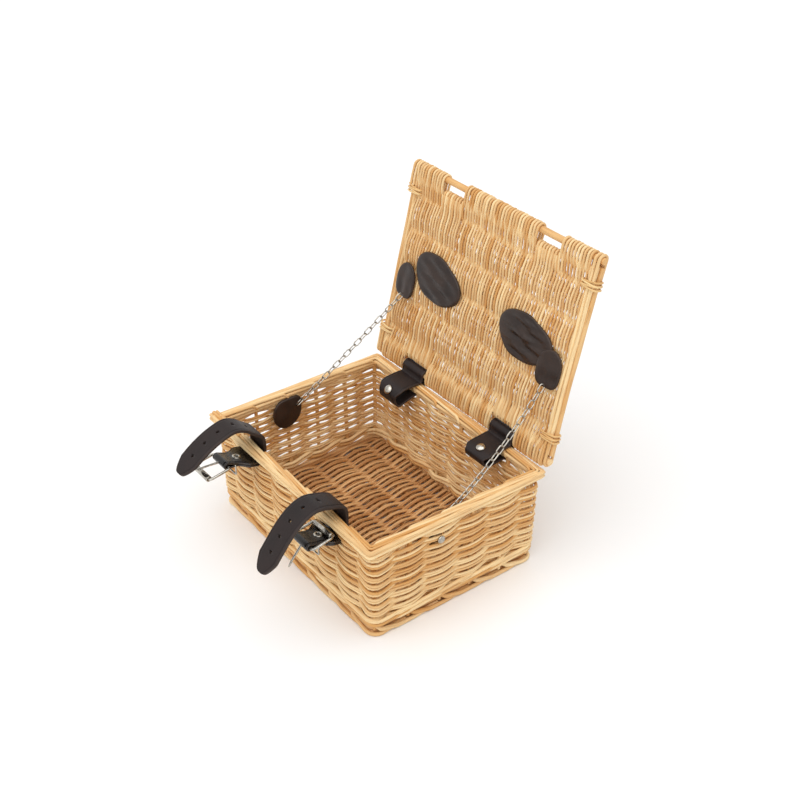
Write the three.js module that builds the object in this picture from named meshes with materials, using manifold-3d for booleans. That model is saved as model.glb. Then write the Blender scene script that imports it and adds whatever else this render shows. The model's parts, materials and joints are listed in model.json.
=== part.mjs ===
// A small willow hamper: woven body, strap-hinged lid held open by two chains, two buckled leather straps.
// Millimetres, +Z up, the front with its buckles towards -Y, the base's underside at the origin.
import * as THREE from 'three';
import { mergeVertices } from 'three/addons/utils/BufferGeometryUtils.js';
import Module from 'manifold-3d';

const wasm = await Module();
wasm.setup();

// Clearance between pieces that touch, and the running clearance round pins and wires.
const GAP = 0.3;
const PLAY = 0.4;

// Body: sizes across the border and from the floor to the border's top.
const WIDTH = 254;
const DEPTH = 193;
const HEIGHT = 99.5;
const WALL_T = 7;
const WALL_TAPER = 3.8;
const CORNER_R = 12;
const FOOT_H = 6.5;
const FOOT_T = 7;
const FOOT_PROUD = 0.8;
const BASE_T = 6.3;
const BASE_STRANDS = 90;
const BASE_STICKS = 6;
const BASE_STICK_GAP = 27;
const BASE_RELIEF = 2.6;
const BORDER_H = 8.5;
const BORDER_T = 11;
const BORDER_OVERHANG = 4;
const ROD_BULGE = 0.7;

// Lid: offsets along it are measured from the axis of its back rod. Shut, it stands a little past the border,
// and its front rod lies over the front of it. Its thickness is over the crests of its weave.
const LID_OPEN = 103.9;
const LID_OVERHANG = 0.5;
const LID_FRONT_INSET = 7.5;
const LID_T = 6.4;
const LID_STRANDS = 104;
const LID_STICKS = 6;
const LID_RELIEF = 3.4;
const LID_ROD_R = 3.2;
const LID_WRAP_T = 2.2;
const LID_EDGE_W = 9;
const LID_EDGE_H = 8.4;
const HINGE_BACK = 3;
const HINGE_RISE = 7.2;
const TIE_W = 7;
const TIE_T = 1.5;
const TIE_LEG = 17;
const TIE_FROM_END = 25;
const SLOT_W = 31;
const SLOT_L = 8;

// Leather hinge loops and their dome rivets.
const HINGE_X = 66;
const HINGE_W = 31;
const HINGE_T = 2;
const HINGE_REACH = 22;
const HINGE_RIVET_AT = 10.2;
const HINGE_FOLD_R = 3;
const HINGE_SAG = 0.7;
const HINGE_PLAY = 0.9;
const NOTCH_L = 9;
const NOTCH_CLEAR = 2;
const RIVET_HEAD_R = 4.8;
const RIVET_HEAD_H = 2.1;
const RIVET_SHANK_R = 1.7;
const RIVET_TAIL_R = 3.4;
const RIVET_TAIL_H = 1;

// Leather patches, pads and the carry handle. A patch's corner radius is a share of its width.
const PATCH_T = 2.2;
const PATCH_BEVEL = 0.75;
const PATCH_ROUND = 0.4;
const WALL_PATCH_W = 34;
const WALL_PATCH_H = 31;
const WALL_PATCH_Y = -20.6;
const WALL_PATCH_BELOW_TOP = 22;
const SIDE_RIVET_R = 3.8;
const SIDE_RIVET_H = 2.3;
const LID_PATCH_W = 25;
const LID_PATCH_L = 33;
const LID_PATCH_CLEAR = 1;
const LID_PATCH_V = 80;
const PAD_LONG = 64;
const PAD_WIDE = 39;
const PAD_TILT = -32;
const PAD_CLEAR = 0.5;
const HANDLE_V = 94;
const HANDLE_W = 20;
const HANDLE_T = 4;
const HANDLE_END = 15;
const HANDLE_RISE = 26;
const HANDLE_LIFT = 0.8;

// Chain: pitch is the nominal distance between links, and a link's corner radius a share of its half width.
const LINK_PITCH = 7.5;
const LINK_W = 6.4;
const CHAIN_WIRE = 1.4;
const LINK_FUSE = 0.5;
const LINK_ROUND = 0.6;
const CHAIN_INSET = 3;

// Straps and buckles.
const STRAP_X = 65;
const STRAP_W = 25;
const STRAP_T = 3;
const STRAP_TAIL = 20;
const STRAP_POINT = 14;
const STRAP_TIP_W = 5;
const STRAP_HOLE_R = 1.6;
const STRAP_HOLES = 5;
const STRAP_HOLE_STEP = 15;
const STRAP_HOLE_FROM_TIP = 20;
const TAB_LENGTH = 35;
const TAB_T = 4.2;
const TAB_BAR_W = 21.5;
const TAB_WALL_W = 33;
const TAB_NECK = 4.5;
const TAB_FLARE = 0.62;
const EYELET_AT = 15;
const EYELET_R = 4.2;
const EYELET_BORE_R = 1.7;
const EYELET_RIM = 0.9;
const EYELET_SOFT = 0.6;
const BUCKLE_INNER_W = 26;
const BUCKLE_LENGTH = 21;
const BUCKLE_WIRE_R = 1.3;
const ROLLER_R = 2.8;
const PRONG_R = 1.1;
const PRONG_TIP_R = 0.9;
const PRONG_LENGTH = 25;
const PRONG_EYE_W = 4.4;
const PRONG_EYE_T = 1.3;
const PRONG_SLOT_CLEAR = 1;
const KEEPER_AT = 7.5;
const KEEPER_WIRE_R = 0.8;
const KEEPER_DROP = 9.5;

// Flat steps that stand for round and bent surfaces.
const STEPS = {
  rod: 3,
  dome: 3,
  rivet: 10,
  bar: 12,
  hole: 8,
  tube: 16,
  wire: 10,
  strap: 36,
  hinge: 46,
  handle: 30,
};

// Each side's strap as [outward, up] from its root at the border's top, and how its buckle lies.
// Angles are degrees from straight out, downwards positive.
const SIDES = [
  {
    name: 'left',
    sign: -1,
    strap: [
      [0, 6], [1.6, 10.6], [5.5, 13.6], [11.3, 18], [18, 23.2],
      [28, 26.5], [42.3, 23.1], [58.3, 15], [81.3, -2.5],
    ],
    tabDrop: 5,
    tabReach: 30,
    tabPitch: 12.7,
    frameAngle: 10,
    prongAngle: -2,
  },
  {
    name: 'right',
    sign: 1,
    strap: [
      [0, 6], [1.6, 10.6], [6, 13.5], [13, 16.3], [28.8, 19.9],
      [41.5, 15.5], [53.5, 5.4], [65.5, -9.2], [79.3, -27.5],
    ],
    tabDrop: 9.7,
    tabReach: 28,
    tabPitch: 5.5,
    frameAngle: -170,
    prongAngle: 52,
  },
];

// Levels and faces that several pieces share.
const borderBottom = HEIGHT - BORDER_H;
const wallBottom = FOOT_H + GAP;
const wallTop = borderBottom - GAP;
const wallHalfX = WIDTH / 2 - BORDER_OVERHANG;
const wallHalfY = DEPTH / 2 - BORDER_OVERHANG;
const footHalfX = wallHalfX - WALL_TAPER + FOOT_PROUD;
const footHalfY = wallHalfY - WALL_TAPER + FOOT_PROUD;
const borderInnerY = DEPTH / 2 - BORDER_T;
const hingeY = DEPTH / 2 + HINGE_BACK;
const hingeZ = HEIGHT + HINGE_RISE;
const lidWidth = WIDTH + 2 * LID_OVERHANG;
const lidRodsApart = DEPTH + HINGE_BACK - LID_FRONT_INSET;
const lidEndR = LID_ROD_R + LID_WRAP_T;
const lidRodBoreR = LID_ROD_R + GAP;
const rivetBoreR = RIVET_SHANK_R + GAP;
const strapTailY = Math.min(borderInnerY, wallHalfY - WALL_T - wallInset(HEIGHT - STRAP_TAIL));
const strapY = -strapTailY + GAP + STRAP_T / 2;
const radians = THREE.MathUtils.degToRad;

// The lid's patches drop inside the border when it closes, and each pad lies beside its patch.
const lidPatchX = WIDTH / 2 - BORDER_T - LID_PATCH_CLEAR - LID_PATCH_W / 2;
const padTilt = radians(PAD_TILT);
const padReach = Math.hypot(PAD_LONG / 2 * Math.cos(padTilt), PAD_WIDE / 2 * Math.sin(padTilt));
const padX = lidPatchX - LID_PATCH_W / 2 - PAD_CLEAR - padReach;

const FINISHES = {
  willow: { color: 0xd8a765, roughness: 0.62, metalness: 0 },
  baseWillow: { color: 0xb07a45, roughness: 0.66, metalness: 0 },
  leather: { color: 0x2f2826, roughness: 0.5, metalness: 0 },
  nickel: { color: 0xc8c5be, roughness: 0.25, metalness: 1 },
};

// The part, and the lid's frame: closed it lies along -Y from its back rod, outer face up.
const hamper = new THREE.Group();
const lid = new THREE.Group();
lid.position.set(0, hingeY, hingeZ);
lid.rotation.x = -radians(LID_OPEN);
hamper.add(lid);
lid.updateMatrixWorld(true);

function addMesh(name, geometry, finish, parent = hamper) {
  const mesh = new THREE.Mesh(geometry, new THREE.MeshStandardMaterial(FINISHES[finish]));
  mesh.name = name;
  parent.add(mesh);
  return mesh;
}

// A closed geometry as a solid that can be cut and joined.
function toSolid(geometry) {
  const bare = new THREE.BufferGeometry();
  bare.setAttribute('position', geometry.getAttribute('position').clone());
  bare.setIndex(geometry.index);
  const merged = mergeVertices(bare, 1e-4);
  return new wasm.Manifold(new wasm.Mesh({
    numProp: 3,
    vertProperties: new Float32Array(merged.getAttribute('position').array),
    triVerts: new Uint32Array(merged.index.array),
  }));
}

function toGeometry(solid) {
  const { vertProperties, triVerts } = solid.getMesh();
  const geometry = new THREE.BufferGeometry();
  geometry.setAttribute('position', new THREE.BufferAttribute(vertProperties, 3));
  geometry.setIndex(new THREE.BufferAttribute(triVerts, 1));
  geometry.computeVertexNormals();
  return geometry;
}

function join(...geometries) {
  return toGeometry(geometries.map(toSolid).reduce((whole, next) => whole.add(next)));
}

function cut(geometry, ...tools) {
  return toGeometry(tools.map(toSolid).reduce((whole, tool) => whole.subtract(tool), toSolid(geometry)));
}

function box(sizeX, sizeY, sizeZ, x, y, z) {
  return new THREE.BoxGeometry(sizeX, sizeY, sizeZ).translate(x, y, z);
}

// A round bar with its axis along X, Y or Z, centred on a point.
function bar(axis, radius, length, x, y, z, sides = STEPS.bar) {
  const geometry = new THREE.CylinderGeometry(radius, radius, length, sides);
  if (axis === 'x') geometry.rotateZ(-Math.PI / 2);
  if (axis === 'z') geometry.rotateX(Math.PI / 2);
  return geometry.translate(x, y, z);
}

// An outline drawn in (y, z), extruded evenly to both sides of x = 0.
function alongX(shape, width) {
  const geometry = new THREE.ExtrudeGeometry(shape, { depth: width, bevelEnabled: false, curveSegments: 8 });
  const turn = new THREE.Matrix4().makeBasis(
    new THREE.Vector3(0, 1, 0),
    new THREE.Vector3(0, 0, 1),
    new THREE.Vector3(1, 0, 0),
  );
  return geometry.applyMatrix4(turn).translate(-width / 2, 0, 0);
}

// An outline drawn in (x, y), extruded upwards from z = 0.
function upwards(shape, height, bevel = 0) {
  return new THREE.ExtrudeGeometry(shape, {
    depth: height - 2 * bevel,
    bevelEnabled: bevel > 0,
    bevelSize: bevel,
    bevelThickness: bevel,
    bevelOffset: -bevel,
    bevelSegments: 1,
    curveSegments: 6,
  }).translate(0, 0, bevel);
}

// A closed body between rings of points that follow each other; each ring has the same count.
function skin(rings) {
  const count = rings[0].length;
  const cap = THREE.ShapeUtils.triangulateShape(flatten(rings[0]), []);
  const index = [];
  for (let ring = 0; ring + 1 < rings.length; ring += 1) {
    for (let side = 0; side < count; side += 1) {
      const a = ring * count + side;
      const b = ring * count + (side + 1) % count;
      index.push(a, b, b + count, a, b + count, a + count);
    }
  }
  const last = (rings.length - 1) * count;
  for (const [a, b, c] of cap) {
    index.push(c, b, a);
    index.push(last + a, last + b, last + c);
  }
  const geometry = new THREE.BufferGeometry().setFromPoints(rings.flat());
  geometry.setIndex(index);
  const whole = toSolid(geometry);
  if (whole.volume() < 0) index.reverse();
  geometry.setIndex(index);
  geometry.computeVertexNormals();
  return geometry;
}

// A flat ring of points in its own plane, for the caps of a skin.
function flatten(ring) {
  const across = ring[1].clone().sub(ring[0]).normalize();
  const normal = new THREE.Vector3();
  for (let i = 2; i < ring.length; i += 1) {
    normal.add(ring[i - 1].clone().sub(ring[0]).cross(ring[i].clone().sub(ring[0])));
  }
  const up = normal.normalize().clone().cross(across);
  return ring.map((point) => {
    const offset = point.clone().sub(ring[0]);
    return new THREE.Vector2(offset.dot(across), offset.dot(up));
  });
}

// A wire of round section bent into a closed flat loop in the XY plane.
function wireLoop(outline, radius, sides) {
  const count = outline.length;
  const points = [];
  const index = [];
  outline.forEach((point, step) => {
    const before = outline[(step + count - 1) % count];
    const after = outline[(step + 1) % count];
    const along = after.clone().sub(before).normalize();
    const outward = new THREE.Vector2(along.y, -along.x);
    for (let side = 0; side < sides; side += 1) {
      const angle = 2 * Math.PI * side / sides;
      const place = point.clone().addScaledVector(outward, radius * Math.cos(angle));
      points.push(new THREE.Vector3(place.x, place.y, radius * Math.sin(angle)));
      const next = (side + 1) % sides;
      const here = step * sides;
      const there = (step + 1) % count * sides;
      index.push(here + side, here + next, there + next, here + side, there + next, there + side);
    }
  });
  const geometry = new THREE.BufferGeometry().setFromPoints(points);
  if (toSolid(geometry.setIndex(index)).volume() < 0) geometry.setIndex(index.reverse());
  geometry.computeVertexNormals();
  return geometry;
}

// A rectangle with round corners, anticlockwise from its lower right corner.
function roundedRectangle(x0, y0, x1, y1, radius, steps = 3) {
  const points = [];
  const [left, right, low, high] = [x0 + radius, x1 - radius, y0 + radius, y1 - radius];
  const centres = [[right, low], [right, high], [left, high], [left, low]];
  centres.forEach(([x, y], corner) => {
    for (let step = 0; step <= steps; step += 1) {
      const angle = (corner - 1 + step / steps) * Math.PI / 2;
      points.push(new THREE.Vector2(x + radius * Math.cos(angle), y + radius * Math.sin(angle)));
    }
  });
  return points;
}

// The outline of rods laid side by side: each rod bulges from a rectangle's edge.
function rodBundle(width, height, across, high) {
  const edges = [[-1, -1, 1, -1, across], [1, -1, 1, 1, high], [1, 1, -1, 1, across], [-1, 1, -1, -1, high]];
  const points = [];
  const halfX = width / 2 - ROD_BULGE;
  const halfY = height / 2 - ROD_BULGE;
  for (const [fromX, fromY, toX, toY, rods] of edges) {
    const steps = rods * STEPS.rod;
    for (let step = 0; step < steps; step += 1) {
      const share = step / steps;
      const round = Math.PI / STEPS.rod;
      const bulge = ROD_BULGE * Math.sin(round * (step % STEPS.rod)) / Math.sin(round);
      const x = halfX * (fromX + (toX - fromX) * share) + Math.sign(toY - fromY) * bulge;
      const y = halfY * (fromY + (toY - fromY) * share) - Math.sign(toX - fromX) * bulge;
      points.push(new THREE.Vector2(x, y));
    }
  }
  return new THREE.Shape(points);
}

// A smooth line through (y, z) points.
function profileCurve(points, closed = false) {
  const path = points.map(([y, z]) => new THREE.Vector3(0, y, z));
  return new THREE.CatmullRomCurve3(path, closed, 'centripetal');
}

// Points and unit normals at even steps along a profile.
function profileStations(curve, steps) {
  const stations = [];
  const last = curve.closed ? steps - 1 : steps;
  for (let step = 0; step <= last; step += 1) {
    const at = step / steps;
    const point = curve.getPointAt(at);
    const along = curve.getTangentAt(at);
    const normal = new THREE.Vector3(0, -along.z, along.y);
    stations.push({ point, along, normal, distance: at * curve.getLength() });
  }
  return stations;
}

// A flat strip of leather that bends along a profile; its width runs along X.
function strip(stations, widthAt, thickness) {
  return skin(stations.map(({ point, normal, distance }) => {
    const half = widthAt(distance) / 2;
    const rise = normal.clone().multiplyScalar(thickness / 2);
    return [[-1, -1], [1, -1], [1, 1], [-1, 1]].map(([x, n]) => (
      point.clone().addScaledVector(rise, n).setX(x * half)
    ));
  }));
}

// A headed rivet along +Z: its head's flat side at z = 0, its shank going down.
function rivet(headR, headH, shankR, shankL, tailR = 0, tailH = 0) {
  const profile = [];
  profile.push(new THREE.Vector2(0, -shankL - tailH));
  if (tailR > 0) {
    profile.push(new THREE.Vector2(tailR, -shankL - tailH));
    profile.push(new THREE.Vector2(tailR, -shankL));
  }
  profile.push(new THREE.Vector2(shankR, -shankL));
  profile.push(new THREE.Vector2(shankR, 0));
  for (let step = 0; step < STEPS.dome; step += 1) {
    const angle = step / STEPS.dome * Math.PI / 2;
    profile.push(new THREE.Vector2(headR * Math.cos(angle), headH * Math.sin(angle)));
  }
  profile.push(new THREE.Vector2(0, headH));
  return new THREE.LatheGeometry(profile, STEPS.rivet).rotateX(Math.PI / 2);
}

// A slab of strands along Y, side by side. At each row every other strand swings up and the rest down;
// lower and upper give the slab's faces at a swing. Rows follow each other along +Y.
function wovenSlab(width, strands, rows, lower, upper) {
  const xs = [-width / 2];
  for (let strand = 0; strand < strands; strand += 1) xs.push(width * ((strand + 0.5) / strands - 0.5));
  xs.push(width / 2);
  const wide = xs.length;
  const top = wide * rows.length;
  const points = [];
  for (const face of [lower, upper]) {
    for (const { y, swing } of rows) {
      xs.forEach((x, column) => {
        const strand = THREE.MathUtils.clamp(column - 1, 0, strands - 1);
        points.push(new THREE.Vector3(x, y, face(strand % 2 === 0 ? swing : -swing)));
      });
    }
  }
  const index = [];
  const quad = (a, b, c, d) => index.push(a, b, c, a, c, d);
  for (let left = 0; left + wide < top; left += wide) {
    const right = left + wide - 1;
    quad(left, top + left, top + left + wide, left + wide);
    quad(right, right + wide, top + right + wide, top + right);
    for (let at = left; at < right; at += 1) {
      quad(at, at + wide, at + wide + 1, at + 1);
      quad(top + at, top + at + 1, top + at + wide + 1, top + at + wide);
    }
  }
  for (let at = 0; at + 1 < wide; at += 1) {
    const end = top - wide + at;
    quad(at, at + 1, top + at + 1, top + at);
    quad(end, top + end, top + end + 1, end + 1);
  }
  const geometry = new THREE.BufferGeometry().setFromPoints(points);
  geometry.setIndex(index);
  geometry.computeVertexNormals();
  return geometry;
}

// How far a wall's outer face stands in from its top edge at a height.
function wallInset(z) {
  return WALL_TAPER * (wallTop - z) / (wallTop - wallBottom);
}

const wallLean = Math.atan(WALL_TAPER / (wallTop - wallBottom));

// Foot rods round the base, and the base panel between them.
function buildBase() {
  const section = new THREE.Shape(roundedRectangle(-FOOT_T / 2, 0, FOOT_T / 2, FOOT_H, FOOT_T / 4, 2));
  const sideLength = 2 * (footHalfY - FOOT_T - GAP);
  for (const sign of [-1, 1]) {
    const across = alongX(section, 2 * footHalfX).translate(0, sign * (footHalfY - FOOT_T / 2), 0);
    addMesh(sign < 0 ? 'foot_rod_front' : 'foot_rod_back', across, 'willow');
    const along = alongX(section, sideLength).rotateZ(Math.PI / 2);
    along.translate(sign * (footHalfX - FOOT_T / 2), 0, 0);
    addMesh(sign < 0 ? 'foot_rod_left' : 'foot_rod_right', along, 'willow');
  }
  const halfX = footHalfX - FOOT_T - GAP;
  const halfY = footHalfY - FOOT_T - GAP;
  const rows = [{ y: -halfY, swing: 0 }];
  for (let stick = 0; stick < BASE_STICKS; stick += 1) {
    const y = (stick - (BASE_STICKS - 1) / 2) * BASE_STICK_GAP;
    rows.push({ y, swing: (stick % 2 === 0 ? 1 : -1) * BASE_RELIEF / 2 });
  }
  rows.push({ y: halfY, swing: 0 });
  const upper = (swing) => BASE_T - BASE_RELIEF / 2 + swing;
  addMesh('base_panel', wovenSlab(2 * halfX, BASE_STRANDS, rows, () => 0, upper), 'baseWillow');
}

// A leaning wall panel between two corner posts: its outer face, seen from above, faces -Y.
function wallPanel(halfLength, halfOut) {
  const ringAt = (z) => {
    const inset = wallInset(z);
    const end = halfLength - inset - CORNER_R - GAP;
    const outer = -(halfOut - inset);
    const corners = [[-end, outer], [end, outer], [end, outer + WALL_T], [-end, outer + WALL_T]];
    return corners.map(([x, y]) => new THREE.Vector3(x, y, z));
  };
  return skin([ringAt(wallBottom), ringAt(wallTop)]);
}

function cornerPost(signX, signY) {
  const steps = 5;
  const ringAt = (z) => {
    const inset = wallInset(z);
    const centreX = wallHalfX - inset - CORNER_R;
    const centreY = wallHalfY - inset - CORNER_R;
    const ring = [];
    for (let step = 0; step <= steps; step += 1) {
      const angle = step / steps * Math.PI / 2;
      ring.push([CORNER_R * Math.cos(angle), CORNER_R * Math.sin(angle)]);
    }
    for (let step = steps; step >= 0; step -= 1) {
      const angle = step / steps * Math.PI / 2;
      ring.push([(CORNER_R - WALL_T) * Math.cos(angle), (CORNER_R - WALL_T) * Math.sin(angle)]);
    }
    return ring.map(([x, y]) => new THREE.Vector3(signX * (centreX + x), signY * (centreY + y), z));
  };
  return skin([ringAt(wallBottom), ringAt(wallTop)]);
}

// The four walls with their slits, notches and rivet bores, and the corner posts.
function buildWalls() {
  const tabSlits = SIDES.map((side) => {
    const slitL = side.tabReach + 3 * WALL_T;
    const slit = box(TAB_WALL_W + 2 * GAP, slitL, TAB_T + 2 * GAP, 0, slitL / 2, 0);
    return slit.applyMatrix4(buckleFrame(side, -side.tabPitch).matrixWorld);
  });
  addMesh('wall_front', cut(wallPanel(wallHalfX, wallHalfY), ...tabSlits), 'willow');

  const notchDepth = borderBottom - hingeLowerZ() + HINGE_T / 2 + GAP;
  const notches = [-1, 1].map((sign) => (
    box(HINGE_W + 2 * GAP, 4 * WALL_T, 2 * notchDepth, sign * HINGE_X, wallHalfY - WALL_T / 2, borderBottom)
  ));
  const back = wallPanel(wallHalfX, wallHalfY).rotateZ(Math.PI);
  addMesh('wall_back', cut(back, ...notches), 'willow');

  for (const sign of [-1, 1]) {
    const side = wallPanel(wallHalfY, wallHalfX).rotateZ(sign * Math.PI / 2);
    const bore = bar('z', rivetBoreR, 4 * WALL_T, 0, 0, 0).applyMatrix4(sideRivetFrame(sign).matrix);
    addMesh(sign < 0 ? 'wall_left' : 'wall_right', cut(side, bore), 'willow');
    addMesh(sign < 0 ? 'corner_post_front_left' : 'corner_post_front_right', cornerPost(sign, -1), 'willow');
    addMesh(sign < 0 ? 'corner_post_back_left' : 'corner_post_back_right', cornerPost(sign, 1), 'willow');
  }
}

// Bundles of laid rods on the wall tops; the front and back bundles run the full width.
function buildBorder() {
  const section = rodBundle(BORDER_T, BORDER_H, 3, 2);
  const midZ = HEIGHT - BORDER_H / 2;
  const sideLength = DEPTH - 2 * BORDER_T - 2 * GAP;
  for (const sign of [-1, 1]) {
    const across = alongX(section, WIDTH).translate(0, sign * (DEPTH - BORDER_T) / 2, midZ);
    addMesh(sign < 0 ? 'border_front' : 'border_back', across, 'willow');
    const along = alongX(section, sideLength).rotateZ(Math.PI / 2);
    along.translate(sign * (WIDTH - BORDER_T) / 2, 0, midZ);
    addMesh(sign < 0 ? 'border_left' : 'border_right', along, 'willow');
  }
}

// The lower ply of a hinge loop runs just under the border.
function hingeLowerZ() {
  return borderBottom - GAP - HINGE_T / 2;
}

// Hinge loops: round the lid's back rod, over the border, folded inside the body and back under the border.
function buildHinges() {
  const wrapR = LID_ROD_R + HINGE_PLAY + HINGE_T / 2;
  const overZ = HEIGHT + GAP + HINGE_T / 2;
  const lowerZ = hingeLowerZ();
  const outerY = DEPTH / 2 + GAP + HINGE_T / 2;
  const foldY = borderInnerY - HINGE_REACH;
  const rivetY = foldY + HINGE_RIVET_AT;
  const rivetZ = overZ - HINGE_RISE / 2;
  const wrap = [-75, -30, 15, 60, 105, 150, 200].map((angle) => (
    [hingeY + wrapR * Math.cos(radians(angle)), hingeZ + wrapR * Math.sin(radians(angle))]
  ));
  const overOuterRod = borderInnerY + BORDER_T * 2 / 3;
  const overInnerRod = borderInnerY + BORDER_T / 3;
  const path = [
    ...wrap,
    [overOuterRod, overZ + HINGE_SAG / 2],
    [overInnerRod, overZ],
    [borderInnerY - HINGE_T, overZ - HINGE_SAG],
    [rivetY, rivetZ],
    [foldY + HINGE_FOLD_R, rivetZ - 3 * HINGE_SAG],
    [foldY, (rivetZ + lowerZ) / 2 - HINGE_SAG],
    [foldY + HINGE_FOLD_R, lowerZ],
    [foldY + HINGE_REACH / 2, lowerZ],
    [borderInnerY, lowerZ],
    [outerY - HINGE_FOLD_R, lowerZ],
    [outerY - HINGE_SAG / 2, lowerZ + HINGE_FOLD_R / 2],
    [outerY, lowerZ + HINGE_FOLD_R + HINGE_SAG],
    [outerY, HEIGHT - HINGE_T],
  ];
  const stations = profileStations(profileCurve(path, true), STEPS.hinge);
  const offset = (amount) => stations.map(({ point, normal }) => (
    new THREE.Vector2(point.y + normal.y * amount, point.z + normal.z * amount)
  ));
  const outline = new THREE.Shape(offset(-HINGE_T / 2));
  outline.holes.push(new THREE.Path(offset(HINGE_T / 2)));
  const band = alongX(outline, HINGE_W);
  const nearest = stations.reduce((best, next) => (
    Math.abs(next.point.y - rivetY) + Math.abs(next.point.z - rivetZ)
      < Math.abs(best.point.y - rivetY) + Math.abs(best.point.z - rivetZ) ? next : best
  ));
  for (const side of SIDES) {
    const seat = new THREE.Group();
    seat.position.set(side.sign * HINGE_X, nearest.point.y, nearest.point.z);
    seat.rotation.x = Math.atan2(-nearest.along.z, -nearest.along.y);
    seat.updateMatrixWorld(true);
    const bore = bar('z', rivetBoreR, 3 * HINGE_T, 0, 0, 0).applyMatrix4(seat.matrixWorld);
    const placed = band.clone().translate(side.sign * HINGE_X, 0, 0);
    addMesh(`hinge_loop_${side.name}`, cut(placed, bore), 'leather');
    hamper.add(seat);
    const grip = HINGE_T + 2 * GAP;
    const stud = rivet(RIVET_HEAD_R, RIVET_HEAD_H, RIVET_SHANK_R, grip, RIVET_TAIL_R, RIVET_TAIL_H);
    addMesh(`hinge_rivet_${side.name}`, stud.translate(0, 0, HINGE_T / 2 + GAP), 'nickel', seat);
  }
}

// The lid's woven panel, its rods, edge bundles and cane ties.
function buildLid() {
  const bodyW = lidWidth - 2 * (LID_EDGE_W + GAP);
  const length = lidRodsApart;
  const boreL = lidWidth + 2 * GAP;
  const cuts = [bar('x', lidRodBoreR, boreL, 0, 0, 0), bar('x', lidRodBoreR, boreL, 0, -length, 0)];
  for (const sign of [-1, 1]) {
    const slotEnd = length + 2 * lidEndR;
    const slotStart = length - LID_ROD_R - SLOT_L;
    cuts.push(box(SLOT_W, slotEnd - slotStart, 4 * lidEndR, sign * STRAP_X, -(slotStart + slotEnd) / 2, 0));
    const notch = NOTCH_L + 2 * lidEndR;
    cuts.push(box(HINGE_W + 2 * NOTCH_CLEAR, notch, 4 * lidEndR, sign * HINGE_X, notch / 2 - NOTCH_L, 0));
    cuts.push(bar('z', rivetBoreR, 3 * LID_T, sign * padX, -HANDLE_V, 0));
    cuts.push(bar('z', rivetBoreR, 3 * LID_T, sign * lidPatchX, -LID_PATCH_V, 0));
  }
  const rows = [];
  for (let row = LID_STICKS + 1; row >= 0; row -= 1) {
    rows.push({ y: -length * row / (LID_STICKS + 1), swing: (row % 2 === 0 ? 1 : -1) * LID_RELIEF / 2 });
  }
  const strandT = LID_T - LID_RELIEF;
  const whole = join(
    wovenSlab(bodyW, LID_STRANDS, rows, (swing) => swing - strandT / 2, (swing) => swing + strandT / 2),
    bar('x', lidEndR, lidWidth, 0, 0, 0),
    bar('x', lidEndR, lidWidth, 0, -length, 0),
  );
  addMesh('lid_panel', cut(whole, ...cuts), 'willow', lid);
  addMesh('lid_back_rod', bar('x', LID_ROD_R, lidWidth, 0, 0, 0), 'willow', lid);
  addMesh('lid_front_rod', bar('x', LID_ROD_R, lidWidth, 0, -length, 0), 'willow', lid);

  const edgeLength = length - 2 * (lidEndR + GAP);
  const edge = alongX(rodBundle(LID_EDGE_W, LID_EDGE_H, 2, 2), edgeLength).rotateZ(Math.PI / 2);
  const tie = tieShape();
  for (const sign of [-1, 1]) {
    const hand = sign < 0 ? 'left' : 'right';
    const placed = edge.clone().translate(sign * (lidWidth - LID_EDGE_W) / 2, -length / 2, 0);
    addMesh(`lid_edge_rods_${hand}`, placed, 'willow', lid);
    for (const [end, v] of [['back', TIE_FROM_END], ['front', length - TIE_FROM_END]]) {
      const clip = upwards(tie, TIE_W).rotateX(Math.PI / 2).translate(0, TIE_W / 2, 0);
      if (sign < 0) clip.rotateZ(Math.PI);
      addMesh(`lid_tie_${end}_${hand}`, clip.translate(0, -v, 0), 'willow', lid);
    }
  }
}

// A tie seen along the lid's edge: two legs on the panel's faces and a back round the edge rods.
function tieShape() {
  const innerX = lidWidth / 2 + GAP;
  const innerH = LID_EDGE_H / 2 + GAP;
  const outerX = innerX + TIE_T;
  const outerH = innerH + TIE_T;
  const legX = outerX - TIE_LEG;
  return new THREE.Shape([
    [legX, -outerH], [outerX - TIE_T, -outerH], [outerX, TIE_T - outerH], [outerX, outerH - TIE_T],
    [outerX - TIE_T, outerH], [legX, outerH],
    [legX, innerH], [innerX, innerH], [innerX, -innerH], [legX, -innerH],
  ].map(([x, y]) => new THREE.Vector2(x, y)));
}

// The place of a chain's rivet on a side wall, with +Z out of the wall.
function sideRivetFrame(sign) {
  const place = new THREE.Object3D();
  const z = HEIGHT - WALL_PATCH_BELOW_TOP;
  place.position.set(sign * (wallHalfX - wallInset(z)), WALL_PATCH_Y, z);
  place.rotation.y = sign * (Math.PI / 2 + wallLean);
  place.updateMatrix();
  return place;
}

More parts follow.
